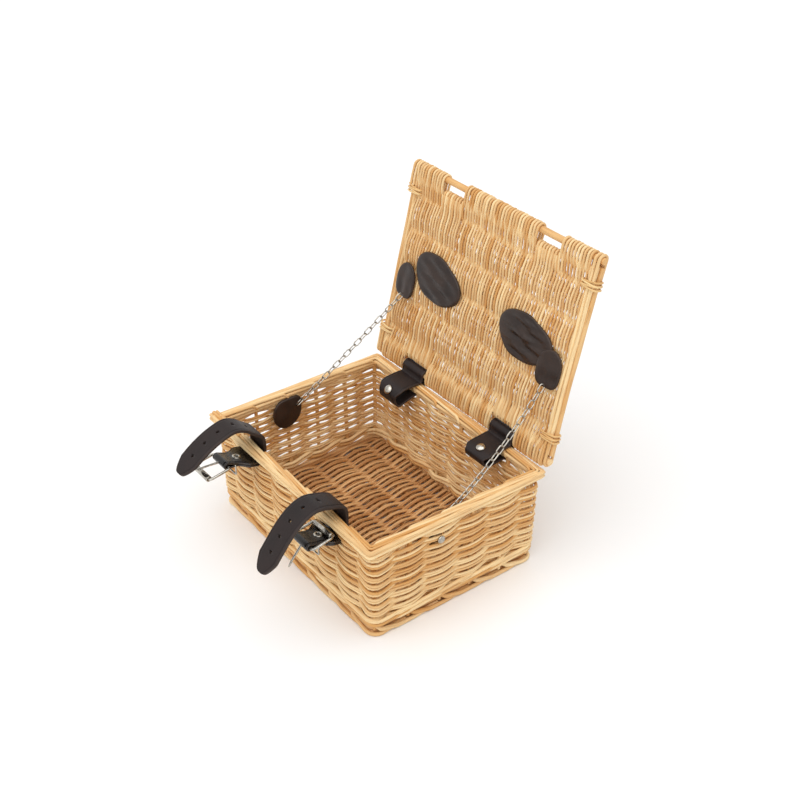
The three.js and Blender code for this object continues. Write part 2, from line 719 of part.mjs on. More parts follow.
// Leather patches at the chains' ends with their rivets, and the two oval pads inside the lid.
function buildPatches() {
  const wallPatch = new THREE.Shape(roundedRectangle(
    -WALL_PATCH_H / 2, -WALL_PATCH_W / 2, WALL_PATCH_H / 2, WALL_PATCH_W / 2, WALL_PATCH_H * PATCH_ROUND, 4,
  ));
  const lidPatch = new THREE.Shape(roundedRectangle(
    -LID_PATCH_W / 2, -LID_PATCH_L / 2, LID_PATCH_W / 2, LID_PATCH_L / 2, LID_PATCH_W * PATCH_ROUND, 4,
  ));
  const pad = new THREE.Shape().absellipse(0, 0, PAD_LONG / 2, PAD_WIDE / 2, 0, 2 * Math.PI, false, 0);
  const behindWall = -WALL_T / Math.cos(wallLean) - GAP - PATCH_T;
  const underLid = -LID_T / 2 - GAP - PATCH_T;
  for (const sign of [-1, 1]) {
    const hand = sign < 0 ? 'left' : 'right';
    const seat = new THREE.Group();
    seat.applyMatrix4(sideRivetFrame(sign).matrix);
    hamper.add(seat);
    const patch = upwards(wallPatch, PATCH_T, PATCH_BEVEL).translate(0, 0, behindWall);
    addMesh(`wall_patch_${hand}`, patch, 'leather', seat);
    const stud = rivet(SIDE_RIVET_R, SIDE_RIVET_H, RIVET_SHANK_R, WALL_T).translate(0, 0, GAP);
    addMesh(`side_rivet_${hand}`, stud, 'nickel', seat);

    const small = upwards(lidPatch, PATCH_T, PATCH_BEVEL).translate(sign * lidPatchX, -LID_PATCH_V, underLid);
    addMesh(`lid_patch_${hand}`, small, 'leather', lid);
    const lidStud = rivet(SIDE_RIVET_R, SIDE_RIVET_H, RIVET_SHANK_R, LID_T - GAP);
    lidStud.translate(sign * lidPatchX, -LID_PATCH_V, LID_T / 2 + GAP);
    addMesh(`lid_rivet_${hand}`, lidStud, 'nickel', lid);
    const oval = upwards(pad, PATCH_T, PATCH_BEVEL).rotateZ(-padTilt);
    addMesh(`handle_pad_${hand}`, oval.translate(sign * padX, -HANDLE_V, underLid), 'leather', lid);
  }
}

// The carry handle arches over the lid's outer face between two rivets that the pads cover inside.
function buildHandle() {
  const low = LID_T / 2 + GAP + HANDLE_T / 2;
  const high = LID_T / 2 + HANDLE_RISE;
  const bendStart = padX - HANDLE_END * 0.7;
  const bendEnd = padX - HANDLE_END * 1.3;
  const half = [
    [padX + HANDLE_END, low],
    [padX, low + HANDLE_LIFT / 8],
    [bendStart, low + HANDLE_LIFT],
    [bendEnd, low + HANDLE_RISE * 0.2],
    [padX * 0.4, high * 0.82],
  ];
  const path = [...half, [0, high], ...half.map(([out, up]) => [-out, up]).reverse()];
  const stations = profileStations(profileCurve(path), STEPS.handle);
  const band = strip(stations, () => HANDLE_W, HANDLE_T).rotateZ(Math.PI / 2);
  const bores = [-1, 1].map((sign) => bar('z', rivetBoreR, 3 * HANDLE_T, sign * padX, 0, low));
  addMesh('carry_handle', cut(band, ...bores).translate(0, -HANDLE_V, 0), 'leather', lid);
  const headZ = low + HANDLE_T / 2 + GAP;
  const shankL = headZ + LID_T / 2 - GAP;
  for (const sign of [-1, 1]) {
    const stud = rivet(RIVET_HEAD_R, RIVET_HEAD_H, RIVET_SHANK_R, shankL);
    stud.translate(sign * padX, -HANDLE_V, headZ);
    addMesh(sign < 0 ? 'handle_rivet_left' : 'handle_rivet_right', stud, 'nickel', lid);
  }
}

// A taut run of links from the wall patch to the lid patch, each link turned a quarter on the last.
function buildChains() {
  for (const sign of [-1, 1]) {
    const onPatch = WALL_T / Math.cos(wallLean) + GAP + PATCH_T + GAP + CHAIN_WIRE / 2;
    const wallCentre = new THREE.Vector3(0, 0, -onPatch).applyMatrix4(sideRivetFrame(sign).matrix);
    const lidInner = -LID_T / 2 - GAP - PATCH_T - GAP - CHAIN_WIRE / 2;
    const lidV = LID_PATCH_V - LID_PATCH_L / 2 + CHAIN_INSET;
    const lidEnd = new THREE.Vector3(sign * lidPatchX, -lidV, lidInner);
    lidEnd.applyMatrix4(lid.matrixWorld);
    const outOfPatch = WALL_PATCH_H / 2 - CHAIN_INSET;
    const pull = lidEnd.clone().sub(wallCentre).normalize();
    const start = wallCentre.clone().addScaledVector(pull, outOfPatch);
    start.x = wallCentre.x;
    const span = lidEnd.distanceTo(start);
    const count = Math.round(span / LINK_PITCH);
    const pitch = span / count;
    const half = (pitch + 2 * CHAIN_WIRE - LINK_FUSE - CHAIN_WIRE) / 2;
    const halfW = (LINK_W - CHAIN_WIRE) / 2;
    const outline = roundedRectangle(-half, -halfW, half, halfW, halfW * LINK_ROUND, 1);
    const link = wireLoop(outline, CHAIN_WIRE / 2, 4);
    const along = lidEnd.clone().sub(start).normalize();
    const flat = new THREE.Vector3(1, 0, 0).cross(along).normalize();
    const aside = along.clone().cross(flat);
    const links = [];
    for (let number = 0; number < count; number += 1) {
      const upright = number % 2 === 1;
      const [across, through] = upright ? [aside, flat.clone().negate()] : [flat, aside];
      const place = new THREE.Matrix4().makeBasis(along, across, through);
      place.setPosition(start.clone().addScaledVector(along, (number + 0.5) * pitch));
      links.push(link.clone().applyMatrix4(place));
    }
    addMesh(sign < 0 ? 'chain_left' : 'chain_right', join(...links), 'nickel');
  }
}

// Straps rise inside the front border, arch outwards over it and hang to a punched, pointed tip.
function buildStraps() {
  for (const side of SIDES) {
    const tail = [[0, -STRAP_TAIL], [0, -STRAP_TAIL / 2]];
    const path = [...tail, ...side.strap].map(([out, up]) => [strapY - out, HEIGHT + up]);
    const curve = profileCurve(path);
    const length = curve.getLength();
    const widthAt = (distance) => {
      const toTip = (length - distance) / STRAP_POINT;
      return toTip >= 1 ? STRAP_W : STRAP_TIP_W + (STRAP_W - STRAP_TIP_W) * Math.sqrt(toTip);
    };
    const holes = [];
    for (let hole = 0; hole < STRAP_HOLES; hole += 1) {
      const at = 1 - (STRAP_HOLE_FROM_TIP + hole * STRAP_HOLE_STEP) / length;
      const point = curve.getPointAt(at);
      const along = curve.getTangentAt(at);
      const punch = bar('z', STRAP_HOLE_R, 3 * STRAP_T, 0, 0, 0, STEPS.hole);
      punch.rotateX(Math.atan2(-along.z, -along.y));
      holes.push(punch.translate(point.x, point.y, point.z));
    }
    const strap = cut(strip(profileStations(curve, STEPS.strap), widthAt, STRAP_T), ...holes);
    addMesh(`strap_${side.name}`, strap.translate(side.sign * STRAP_X, 0, 0), 'leather');
  }
}

// A frame on a buckle's bar, turned about it: at 0 degrees its -Y points straight out of the front.
function buckleFrame(side, angle) {
  const rootZ = borderBottom - side.tabDrop;
  const rootY = -(wallHalfY - wallInset(rootZ));
  const pitch = radians(side.tabPitch);
  const frame = new THREE.Group();
  frame.position.set(
    side.sign * STRAP_X,
    rootY - side.tabReach * Math.cos(pitch),
    rootZ + side.tabReach * Math.sin(pitch),
  );
  frame.rotation.x = radians(angle);
  frame.updateMatrixWorld(true);
  return frame;
}

// A leather tab folded round the buckle's bar, in the bar's frame with the wall towards +Y.
function tabGeometry() {
  const barBore = BUCKLE_WIRE_R + PLAY;
  const foldR = barBore + TAB_T / 2;
  const meet = Math.asin(TAB_T / 2 / foldR);
  const profile = new THREE.Shape();
  profile.moveTo(TAB_LENGTH, -TAB_T / 2);
  profile.lineTo(TAB_LENGTH, TAB_T / 2);
  profile.absarc(0, 0, foldR, meet, 2 * Math.PI - meet, false);
  profile.holes.push(new THREE.Path().absarc(0, 0, barBore, 0, 2 * Math.PI, true));
  profile.holes.push(new THREE.Path().absarc(KEEPER_AT, 0, KEEPER_WIRE_R + GAP, 0, 2 * Math.PI, true));
  const neckEnd = KEEPER_AT + TAB_NECK;
  const flareStart = neckEnd + TAB_NECK;
  const flareEnd = TAB_LENGTH * TAB_FLARE;
  const [neckX, wallX] = [TAB_BAR_W / 2, TAB_WALL_W / 2];
  const plan = new THREE.Shape();
  plan.moveTo(-neckX, -2 * foldR);
  plan.lineTo(neckX, -2 * foldR);
  plan.lineTo(neckX, neckEnd);
  plan.quadraticCurveTo(wallX, flareStart, wallX, flareEnd);
  plan.lineTo(wallX, 2 * TAB_LENGTH);
  plan.lineTo(-wallX, 2 * TAB_LENGTH);
  plan.lineTo(-wallX, flareEnd);
  plan.quadraticCurveTo(-wallX, flareStart, -neckX, neckEnd);
  const blank = toSolid(alongX(profile, 2 * TAB_WALL_W));
  const outline = toSolid(upwards(plan, 4 * foldR).translate(0, 0, -2 * foldR));
  const slot = box(PRONG_EYE_W + 2 * PRONG_SLOT_CLEAR, 2 * foldR, 4 * foldR, 0, 0, 0);
  const eyeBore = bar('z', EYELET_BORE_R + EYELET_RIM + GAP, 3 * TAB_T, 0, EYELET_AT, 0);
  return cut(toGeometry(blank.intersect(outline)), slot, eyeBore);
}

// A hollow rivet with a rolled rim on both faces of the tab.
function eyeletGeometry() {
  const neck = EYELET_BORE_R + EYELET_RIM;
  const face = TAB_T / 2 + GAP;
  const rim = face + EYELET_RIM;
  const profile = [
    [EYELET_BORE_R, -rim], [EYELET_R, -rim], [EYELET_R, -face], [neck, -face],
    [neck, face], [EYELET_R, face], [EYELET_R - EYELET_SOFT, rim], [EYELET_BORE_R, rim],
    [EYELET_BORE_R, -rim],
  ].map(([x, y]) => new THREE.Vector2(x, y));
  return new THREE.LatheGeometry(profile, STEPS.bar).rotateX(Math.PI / 2).translate(0, EYELET_AT, 0);
}

// A tube centred on x = 0, with its axis along X.
function tube(boreR, outerR, length) {
  const half = length / 2;
  const ring = [[boreR, -half], [outerR, -half], [outerR, half], [boreR, half], [boreR, -half]];
  const points = ring.map(([radius, end]) => new THREE.Vector2(radius, end));
  return new THREE.LatheGeometry(points, STEPS.tube).rotateZ(Math.PI / 2);
}

// Tabs, eyelets, wire frames, rollers, prongs and keepers of both buckles.
function buildBuckles() {
  const wireW = BUCKLE_INNER_W / 2 + BUCKLE_WIRE_R;
  const loop = roundedRectangle(-wireW, -BUCKLE_LENGTH, wireW, 0, BUCKLE_WIRE_R, 2);
  const rollerL = BUCKLE_INNER_W - 2 * GAP;
  const wireBore = BUCKLE_WIRE_R + GAP;
  const pinFrom = wireBore + PRONG_EYE_T / 2;
  const pin = new THREE.CylinderGeometry(PRONG_TIP_R, PRONG_R, PRONG_LENGTH - pinFrom, STEPS.hole);
  pin.rotateX(Math.PI).translate(0, -(PRONG_LENGTH + pinFrom) / 2, 0);
  const prongShape = join(tube(wireBore, wireBore + PRONG_EYE_T, PRONG_EYE_W), pin);
  const rollerShape = tube(wireBore, ROLLER_R, rollerL).translate(0, -BUCKLE_LENGTH, 0);
  const keeperW = TAB_BAR_W / 2 + PLAY + KEEPER_WIRE_R;
  const keeperLoop = roundedRectangle(-keeperW, -KEEPER_DROP, keeperW, 0, KEEPER_WIRE_R, 2);
  for (const side of SIDES) {
    const tab = buckleFrame(side, -side.tabPitch);
    const frame = buckleFrame(side, side.frameAngle);
    const prong = buckleFrame(side, side.prongAngle);
    const keeper = new THREE.Group();
    keeper.position.set(0, KEEPER_AT, 0);
    keeper.rotation.x = Math.PI / 2 + radians(side.tabPitch);
    tab.add(keeper);
    hamper.add(tab, frame, prong);
    addMesh(`buckle_tab_${side.name}`, tabGeometry(), 'leather', tab);
    addMesh(`tab_eyelet_${side.name}`, eyeletGeometry(), 'nickel', tab);
    addMesh(`keeper_${side.name}`, wireLoop(keeperLoop, KEEPER_WIRE_R, STEPS.hole), 'nickel', keeper);
    addMesh(`buckle_frame_${side.name}`, wireLoop(loop, BUCKLE_WIRE_R, STEPS.wire), 'nickel', frame);
    addMesh(`roller_${side.name}`, rollerShape.clone(), 'nickel', frame);
    addMesh(`prong_${side.name}`, prongShape.clone(), 'nickel', prong);
  }
}

buildBase();
buildWalls();
buildBorder();
buildHinges();
buildLid();
buildPatches();
buildHandle();
buildChains();
buildStraps();
buildBuckles();

export default hamper;
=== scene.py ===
"""Dress an open willow hamper: woven body and lid, leather fittings and bright nickel hardware.

Sizes are in millimetres and meshes in metres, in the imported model's own frame: the front with its
buckles towards -Y, the underside of the foot at z = 0.
"""

import json
import logging
import math
from dataclasses import dataclass, field
from enum import Enum
from typing import Callable

import bmesh
import bpy
import numpy as np
from bpy.types import Material, Mesh, NodeOutputs, NodeSocket, NodeTree, Object
from mathutils import Matrix, Vector


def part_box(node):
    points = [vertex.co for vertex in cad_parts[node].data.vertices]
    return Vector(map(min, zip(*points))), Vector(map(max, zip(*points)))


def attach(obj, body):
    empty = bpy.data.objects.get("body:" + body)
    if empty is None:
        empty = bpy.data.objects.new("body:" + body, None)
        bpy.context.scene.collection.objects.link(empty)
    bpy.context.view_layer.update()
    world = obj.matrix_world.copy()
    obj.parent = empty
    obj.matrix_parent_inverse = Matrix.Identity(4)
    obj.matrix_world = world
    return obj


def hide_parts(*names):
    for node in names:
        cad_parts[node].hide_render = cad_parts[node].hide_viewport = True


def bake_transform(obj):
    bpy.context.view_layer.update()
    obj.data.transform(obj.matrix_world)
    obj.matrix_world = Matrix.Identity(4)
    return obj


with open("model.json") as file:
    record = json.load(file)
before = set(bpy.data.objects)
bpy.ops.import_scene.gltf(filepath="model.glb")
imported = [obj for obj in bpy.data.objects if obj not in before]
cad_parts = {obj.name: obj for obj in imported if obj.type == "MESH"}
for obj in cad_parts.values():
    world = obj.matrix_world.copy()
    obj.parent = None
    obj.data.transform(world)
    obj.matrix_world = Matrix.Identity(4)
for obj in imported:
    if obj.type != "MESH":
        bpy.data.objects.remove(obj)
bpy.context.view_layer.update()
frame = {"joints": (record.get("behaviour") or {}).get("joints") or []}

MM = 0.001
LOG = logging.getLogger("hamper")
JOINTS = {joint["name"]: joint for joint in frame["joints"]}
RIGHTWARD = np.array([1.0, 0.0, 0.0])
SIDES = ("front", "back", "left", "right")
Array = np.ndarray


class Slot(str, Enum):
    """The record's material slots."""

    WALL = "willow_weave"
    ROD = "willow_rod"
    BASE = "base_weave"
    TIE = "cane_tie"
    STRAP = "strap_leather"
    PATCH = "patch_leather"
    METAL = "nickel"


class Hand(Enum):
    """The two sides of the hamper, seen from its front."""

    LEFT = -1
    RIGHT = 1

    @property
    def word(self) -> str:
        """The side as it stands in the names of pieces."""
        return self.name.lower()


HANDS = tuple(hand.word for hand in Hand)


def by_hand(left: object, right: object) -> dict:
    """Make a dataclass field that holds one value for each side."""
    return field(default_factory=lambda: {Hand.LEFT: left, Hand.RIGHT: right})


def each(stem: str, ends: tuple = HANDS) -> list[str]:
    """Name the CAD nodes that share a stem, one for each end."""
    return [f"{stem}_{end}" for end in ends]


def node_box(node: str) -> tuple[Array, Array]:
    """Give the lowest and highest corner of a CAD node's box in millimetres."""
    low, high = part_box(node)
    return np.array(low) / MM, np.array(high) / MM


def joint_place(joint: str) -> Array:
    """Give a joint's place in millimetres."""
    return np.array(JOINTS[joint]["pos_m"]) / MM


def hex_colour(code: str) -> tuple[float, float, float, float]:
    """Turn an sRGB hex colour into linear RGBA.

    Args:
        code: the colour as "#rrggbb".

    Returns:
        Linear red, green, blue and an alpha of 1.
    """
    parts = [int(code[at:at + 2], 16) / 255 for at in (1, 3, 5)]
    linear = [part / 12.92 if part <= 0.04045 else ((part + 0.055) / 1.055) ** 2.4 for part in parts]
    return (*linear, 1.0)


def add_node(
    tree: NodeTree, kind: str, inputs: dict | None = None, out: int | str = 0, **settings: object
) -> NodeSocket | None:
    """Add a node with its settings and links.

    Args:
        tree: the node tree to add to.
        kind: the node's type name.
        inputs: a socket to link or a value to set, by the input's name or number.
        out: the output to hand on, by its name or number; a mix of colours has it at 2.
        **settings: the node's own properties.

    Returns:
        The output, or None for a node without any.
    """
    node = tree.nodes.new(kind)
    for name, value in settings.items():
        setattr(node, name, value)
    for key, value in (inputs or {}).items():
        if isinstance(value, NodeSocket):
            tree.links.new(value, node.inputs[key])
        else:
            node.inputs[key].default_value = value
    return node.outputs[out] if node.outputs else None


@dataclass(frozen=True)
class Finish:
    """A surface that is built once and shared by every piece that has it."""

    name: str

    def material(self) -> Material:
        """Build the material, or find it if it is there.

        Returns:
            The finish's material.
        """
        known = bpy.data.materials.get(self.name)
        if known:
            return known
        material = bpy.data.materials.new(self.name)
        material.use_nodes = True
        tree = material.node_tree
        tree.nodes.clear()
        add_node(tree, "ShaderNodeOutputMaterial", {"Surface": self.surface(tree)})
        return material

    def surface(self, tree: NodeTree) -> NodeSocket:
        """Build the finish's own nodes and hand on their shader."""
        raise NotImplementedError


@dataclass(frozen=True)
class WillowFinish(Finish):
    """Willow rods, boiled, peeled and dried: warm tan, each rod its own tone, with fine long grain.

    The grain follows the rod through the attributes that the sweep leaves: along, ring and shade.
    """

    light: str
    deep: str
    streak: str
    knot: str = "#6B3F1C"
    roughness: float = 0.5
    streak_length: float = 26.0
    tone_length: float = 70.0
    streaks_round: float = 2.6
    rod_shift: float = 90.0
    rod_tone: float = 1.1

    def surface(self, tree: NodeTree) -> NodeSocket:
        """Run streaks and knots along each rod, over a tone that changes slowly.

        Args:
            tree: the material's tree.

        Returns:
            The shader.
        """
        along = add_node(tree, "ShaderNodeAttribute", out="Fac", attribute_name="along")
        ring = add_node(tree, "ShaderNodeAttribute", out="Vector", attribute_name="ring")
        shade = add_node(tree, "ShaderNodeAttribute", out="Fac", attribute_name="shade")
        start = add_node(tree, "ShaderNodeMath", {0: shade, 1: self.rod_shift}, operation="MULTIPLY")
        run, slow_run = (
            add_node(
                tree, "ShaderNodeMath", {0: along, 1: 1 / (length * MM), 2: start}, operation="MULTIPLY_ADD"
            )
            for length in (self.streak_length, self.tone_length)
        )
        lift = add_node(tree, "ShaderNodeCombineXYZ", {"Z": run})
        grain_at = add_node(
            tree, "ShaderNodeVectorMath", {0: ring, 1: (self.streaks_round,) * 3, 2: lift},
            operation="MULTIPLY_ADD",
        )
        grain = add_node(
            tree, "ShaderNodeTexNoise", {"Vector": grain_at, "Scale": 1.0, "Detail": 4.0, "Roughness": 0.62}
        )
        knots = add_node(tree, "ShaderNodeTexNoise", {"Vector": grain_at, "Scale": 1.9, "Detail": 0.0})
        slow = add_node(
            tree, "ShaderNodeTexNoise", {"W": slow_run, "Scale": 1.0, "Detail": 2.0}, noise_dimensions="1D"
        )
        own = add_node(
            tree, "ShaderNodeMath", {0: shade, 1: self.rod_tone, 2: -self.rod_tone / 2},
            operation="MULTIPLY_ADD",
        )
        tone = add_node(tree, "ShaderNodeMath", {0: slow, 1: own}, operation="ADD", use_clamp=True)
        lines = add_node(
            tree, "ShaderNodeMapRange", {"Value": grain, "From Min": 0.5, "From Max": 0.74, "To Max": 0.55}
        )
        marks = add_node(
            tree, "ShaderNodeMapRange", {"Value": knots, "From Min": 0.77, "From Max": 0.84, "To Max": 0.7}
        )
        colour = hex_colour(self.light)
        for share, over in ((tone, self.deep), (lines, self.streak), (marks, self.knot)):
            colour = add_node(
                tree, "ShaderNodeMix", {0: share, 6: colour, 7: hex_colour(over)}, 2, data_type="RGBA"
            )
        rough = add_node(
            tree, "ShaderNodeMapRange",
            {"Value": grain, "From Min": 0.3, "From Max": 0.7, "To Min": self.roughness - 0.06,
             "To Max": self.roughness + 0.12},
        )
        bump = add_node(tree, "ShaderNodeBump", {"Height": grain, "Strength": 0.35, "Distance": 0.3 * MM})
        return add_node(
            tree, "ShaderNodeBsdfPrincipled",
            {"Base Color": colour, "Roughness": rough, "Normal": bump, "IOR": 1.46,
             "Specular IOR Level": 0.38},
        )


@dataclass(frozen=True)
class LeatherFinish(Finish):
    """Finished hide, dyed nearly black: fine pebbled grain, cloudy dye and edges rubbed paler.

    The grain of such hide is finer than this; it is drawn as coarse as it needs to show.
    """

    dark: str
    light: str
    worn: str
    roughness: float
    grain: float = 1.1
    cloud: float = 22.0
    shine: float = 0.25

    def surface(self, tree: NodeTree) -> NodeSocket:
        """Pebble the hide, cloud its dye and rub its edges.

        Args:
            tree: the material's tree.

        Returns:
            The shader.
        """
        place = add_node(tree, "ShaderNodeTexCoord", out="Object")
        edge = add_node(tree, "ShaderNodeAttribute", out="Fac", attribute_name="edge")
        pebble = add_node(
            tree, "ShaderNodeTexVoronoi", {"Vector": place, "Scale": 1 / (self.grain * MM)},
            feature="DISTANCE_TO_EDGE",
        )
        furrow = add_node(tree, "ShaderNodeMapRange", {"Value": pebble, "From Max": 0.25})
        fine = add_node(
            tree, "ShaderNodeTexNoise",
            {"Vector": place, "Scale": 3 / (self.grain * MM), "Detail": 3.0, "Roughness": 0.6},
        )
        height = add_node(tree, "ShaderNodeMath", {0: fine, 1: 0.6, 2: furrow}, operation="MULTIPLY_ADD")
        cloud = add_node(
            tree, "ShaderNodeTexNoise",
            {"Vector": place, "Scale": 1 / (self.cloud * MM), "Detail": 4.0, "Roughness": 0.55},
        )
        dye = add_node(tree, "ShaderNodeMapRange", {"Value": cloud, "From Min": 0.3, "From Max": 0.7})
        rub = add_node(tree, "ShaderNodeMath", {0: edge, 1: cloud}, operation="MULTIPLY", use_clamp=True)
        colour = hex_colour(self.dark)
        for share, over in ((dye, self.light), (rub, self.worn)):
            colour = add_node(
                tree, "ShaderNodeMix", {0: share, 6: colour, 7: hex_colour(over)}, 2, data_type="RGBA"
            )
        rough = add_node(
            tree, "ShaderNodeMapRange",
            {"Value": cloud, "From Min": 0.3, "From Max": 0.7, "To Min": self.roughness - 0.07,
             "To Max": self.roughness + 0.09},
        )
        bump = add_node(tree, "ShaderNodeBump", {"Height": height, "Strength": 0.3, "Distance": 0.12 * MM})
        return add_node(
            tree, "ShaderNodeBsdfPrincipled",
            {"Base Color": colour, "Roughness": rough, "Normal": bump, "IOR": 1.5,
             "Specular IOR Level": self.shine},
        )


@dataclass(frozen=True)
class NickelFinish(Finish):
    """Nickel-plated steel wire and stampings: bright, slightly warm, with patches of painted dark reflection
    of the surroundings.
    """

    name: str = "Nickel plated steel, polished"
    bright: str = "#C2BDB3"
    # painted reflection: the colour of dark surroundings mirrored in the metal
    dull: str = "#7E7A73"
    roughness: float = 0.17
    # size of the patches of painted reflection
    mark: float = 3.0

    def surface(self, tree: NodeTree) -> NodeSocket:
        """Paint darker patches of reflection of the dark surroundings into the bright metal, and make it
        rougher there.

        Args:
            tree: the material's tree.

        Returns:
            The shader.
        """
        place = add_node(tree, "ShaderNodeTexCoord", out="Object")
        # Noise patches: where high, the colour turns to the painted dark reflection and the metal grows
        # rougher.
        marks = add_node(
            tree, "ShaderNodeTexNoise",
            {"Vector": place, "Scale": 1 / (self.mark * MM), "Detail": 4.0, "Roughness": 0.65},
        )
        share = add_node(tree, "ShaderNodeMapRange", {"Value": marks, "From Min": 0.4, "From Max": 0.75})
        # Mix in the painted dark reflection.
        colour = add_node(
            tree, "ShaderNodeMix", {0: share, 6: hex_colour(self.bright), 7: hex_colour(self.dull)}, 2,
            data_type="RGBA",
        )
        rough = add_node(
            tree, "ShaderNodeMapRange",
            {"Value": marks, "From Min": 0.35, "From Max": 0.75, "To Min": self.roughness - 0.04,
             "To Max": self.roughness + 0.14},
        )
        return add_node(
            tree, "ShaderNodeBsdfPrincipled", {"Base Color": colour, "Roughness": rough, "Metallic": 1.0}
        )


@dataclass(frozen=True)
class FloorFinish(Finish):
    """A matt white studio floor, which keeps the object's shadow."""

    name: str = "Studio floor, matt white"
    white: float = 0.95

    def surface(self, tree: NodeTree) -> NodeSocket:
        """Scatter light evenly."""
        return add_node(tree, "ShaderNodeBsdfDiffuse", {"Color": (self.white,) * 3 + (1.0,)})


BUFF_WILLOW = WillowFinish("Buff willow, boiled and peeled", "#FBDDA8", "#DCA663", "#AE6C31")
# Base rods: partly a deeper brown of their own, partly painted shade for the base that lies low in the
# basket's shadow.
BASE_WILLOW_DEEPER_AND_SHADED = WillowFinish("Buff willow, darker base rods", "#E2B47C", "#B67E48", "#7E4B22")
CANE = WillowFinish(
    "Split cane, smooth skin", "#F2D198", "#E0B070", "#BE8546", roughness=0.42, streaks_round=1.6
)
STRAP_LEATHER = LeatherFinish("Bridle leather, black brown", "#1C1413", "#2A1F1D", "#4A3E38", 0.48)
TAB_LEATHER = LeatherFinish(
    "Bridle leather, polished black", "#0F0B0A", "#1A1412", "#3A302A", 0.2, shine=0.5
)
PATCH_LEATHER = LeatherFinish(
    "Soft grain leather, black brown", "#1E120D", "#382820", "#48382E", 0.4, shine=0.35
)
NICKEL = NickelFinish()


def ease(values: Array, start: float, end: float) -> Array:
    """Rise smoothly from 0 at start to 1 at end."""
    share = np.clip((np.asarray(values, float) - start) / (end - start), 0, 1)
    return share * share * (3 - 2 * share)


def smooth_line(points: list, per_span: int = 12, closed: bool = False) -> Array:
    """Draw a smooth line through points, without overshoot at uneven spacing.

    Args:
        points: the places that the line passes.
        per_span: steps from one place to the next.
        closed: whether the line returns to its start.

    Returns:
        The places along the line, one row each.
    """
    given = np.array(points, float)
    if closed:
        padded = np.vstack([given[-1], given, given[:2]])
    else:
        padded = np.vstack([2 * given[0] - given[1], given, 2 * given[-1] - given[-2]])
    line = []
    for p0, p1, p2, p3 in zip(padded, padded[1:], padded[2:], padded[3:]):
        gaps = [math.sqrt(np.linalg.norm(b - a)) for a, b in ((p0, p1), (p1, p2), (p2, p3))]
        t0, t1, t2, t3 = np.cumsum([0.0, *gaps])
        for t in np.linspace(t1, t2, per_span, endpoint=False):
            a1 = ((t1 - t) * p0 + (t - t0) * p1) / (t1 - t0)
            a2 = ((t2 - t) * p1 + (t - t1) * p2) / (t2 - t1)
            a3 = ((t3 - t) * p2 + (t - t2) * p3) / (t3 - t2)
            b1 = ((t2 - t) * a1 + (t - t0) * a2) / (t2 - t0)
            b2 = ((t3 - t) * a2 + (t - t1) * a3) / (t3 - t1)
            line.append(((t2 - t) * b1 + (t - t1) * b2) / (t2 - t1))
    if not closed:
        line.append(given[-1])
    return np.array(line)


def put_attribute(mesh: Mesh, name: str, kind: str, values: Array) -> None:
    """Store a value for each point of a mesh.

    Args:
        mesh: the mesh.
        name: the attribute's name.
        kind: FLOAT, INT or FLOAT_VECTOR.
        values: one value or vector for each point.
    """
    attribute = mesh.attributes.new(name, kind, "POINT")
    key = "vector" if kind == "FLOAT_VECTOR" else "value"
    numbers = np.ascontiguousarray(values, np.int32 if kind == "INT" else np.float32)
    attribute.data.foreach_set(key, numbers.ravel())


def outward(mesh: Mesh) -> Mesh:
    """Turn a closed mesh's faces outwards and shade it smooth.

    Args:
        mesh: the mesh.

    Returns:
        The same mesh.
    """
    work = bmesh.new()
    work.from_mesh(mesh)
    bmesh.ops.recalc_face_normals(work, faces=work.faces)
    work.to_mesh(mesh)
    work.free()
    mesh.shade_smooth()
    return mesh


def mesh_points(mesh: Mesh) -> Array:
    """Read a mesh's points.

    Args:
        mesh: the mesh.

    Returns:
        The points in millimetres, one row each.
    """
    points = np.zeros(len(mesh.vertices) * 3)
    mesh.vertices.foreach_get("co", points)
    return points.reshape(-1, 3) / MM


def move_points(mesh: Mesh, points: Array) -> None:
    """Move a mesh's points to places in millimetres and turn its faces outwards."""
    mesh.vertices.foreach_set("co", (points * MM).astype(np.float32).ravel())
    outward(mesh)


def add_piece(name: str, mesh: Mesh) -> Object:
    """Put a mesh in the scene as an object at the origin.

    Args:
        name: the piece's name.
        mesh: its mesh.

    Returns:
        The new object.
    """
    piece = bpy.data.objects.new(name, mesh)
    bpy.context.scene.collection.objects.link(piece)
    return piece


def closed_mesh(name: str, points: Array, faces: list, finish: Finish) -> Object:
    """Make a smooth closed piece from points in millimetres, its faces pointing out.

    Args:
        name: the piece's name.
        points: the points, one row each.
        faces: point numbers of each face.
        finish: the piece's finish.

    Returns:
        The new object.
    """
    mesh = bpy.data.meshes.new(name)
    mesh.from_pydata((np.asarray(points) * MM).tolist(), [], faces)
    mesh.materials.append(finish.material())
    return add_piece(name, outward(mesh))


def lathe(
    name: str, profile: list, steps: int, finish: Finish, closed: bool = False
) -> Object:
    """Turn a profile round the Z axis.

    Args:
        name: the piece's name.
        profile: (radius, height) places; a radius of 0 is a pole.
        steps: flat steps round the axis.
        finish: the piece's finish.
        closed: whether the profile returns to its start.

    Returns:
        The turned piece.
    """
    points = []
    rings = []
    for radius, height in profile:
        if radius < 1e-9:
            rings.append([len(points)] * steps)
            points.append((0.0, 0.0, height))
            continue
        rings.append(list(range(len(points), len(points) + steps)))
        for step in range(steps):
            angle = 2 * math.pi * step / steps
            points.append((radius * math.cos(angle), radius * math.sin(angle), height))
    pairs = list(zip(rings, rings[1:]))
    if closed:
        pairs.append((rings[-1], rings[0]))
    faces = []
    for low, high in pairs:
        for step in range(steps):
            after = (step + 1) % steps
            faces.append(tuple(dict.fromkeys((low[step], low[after], high[after], high[step]))))
    return closed_mesh(name, np.array(points), faces, finish)


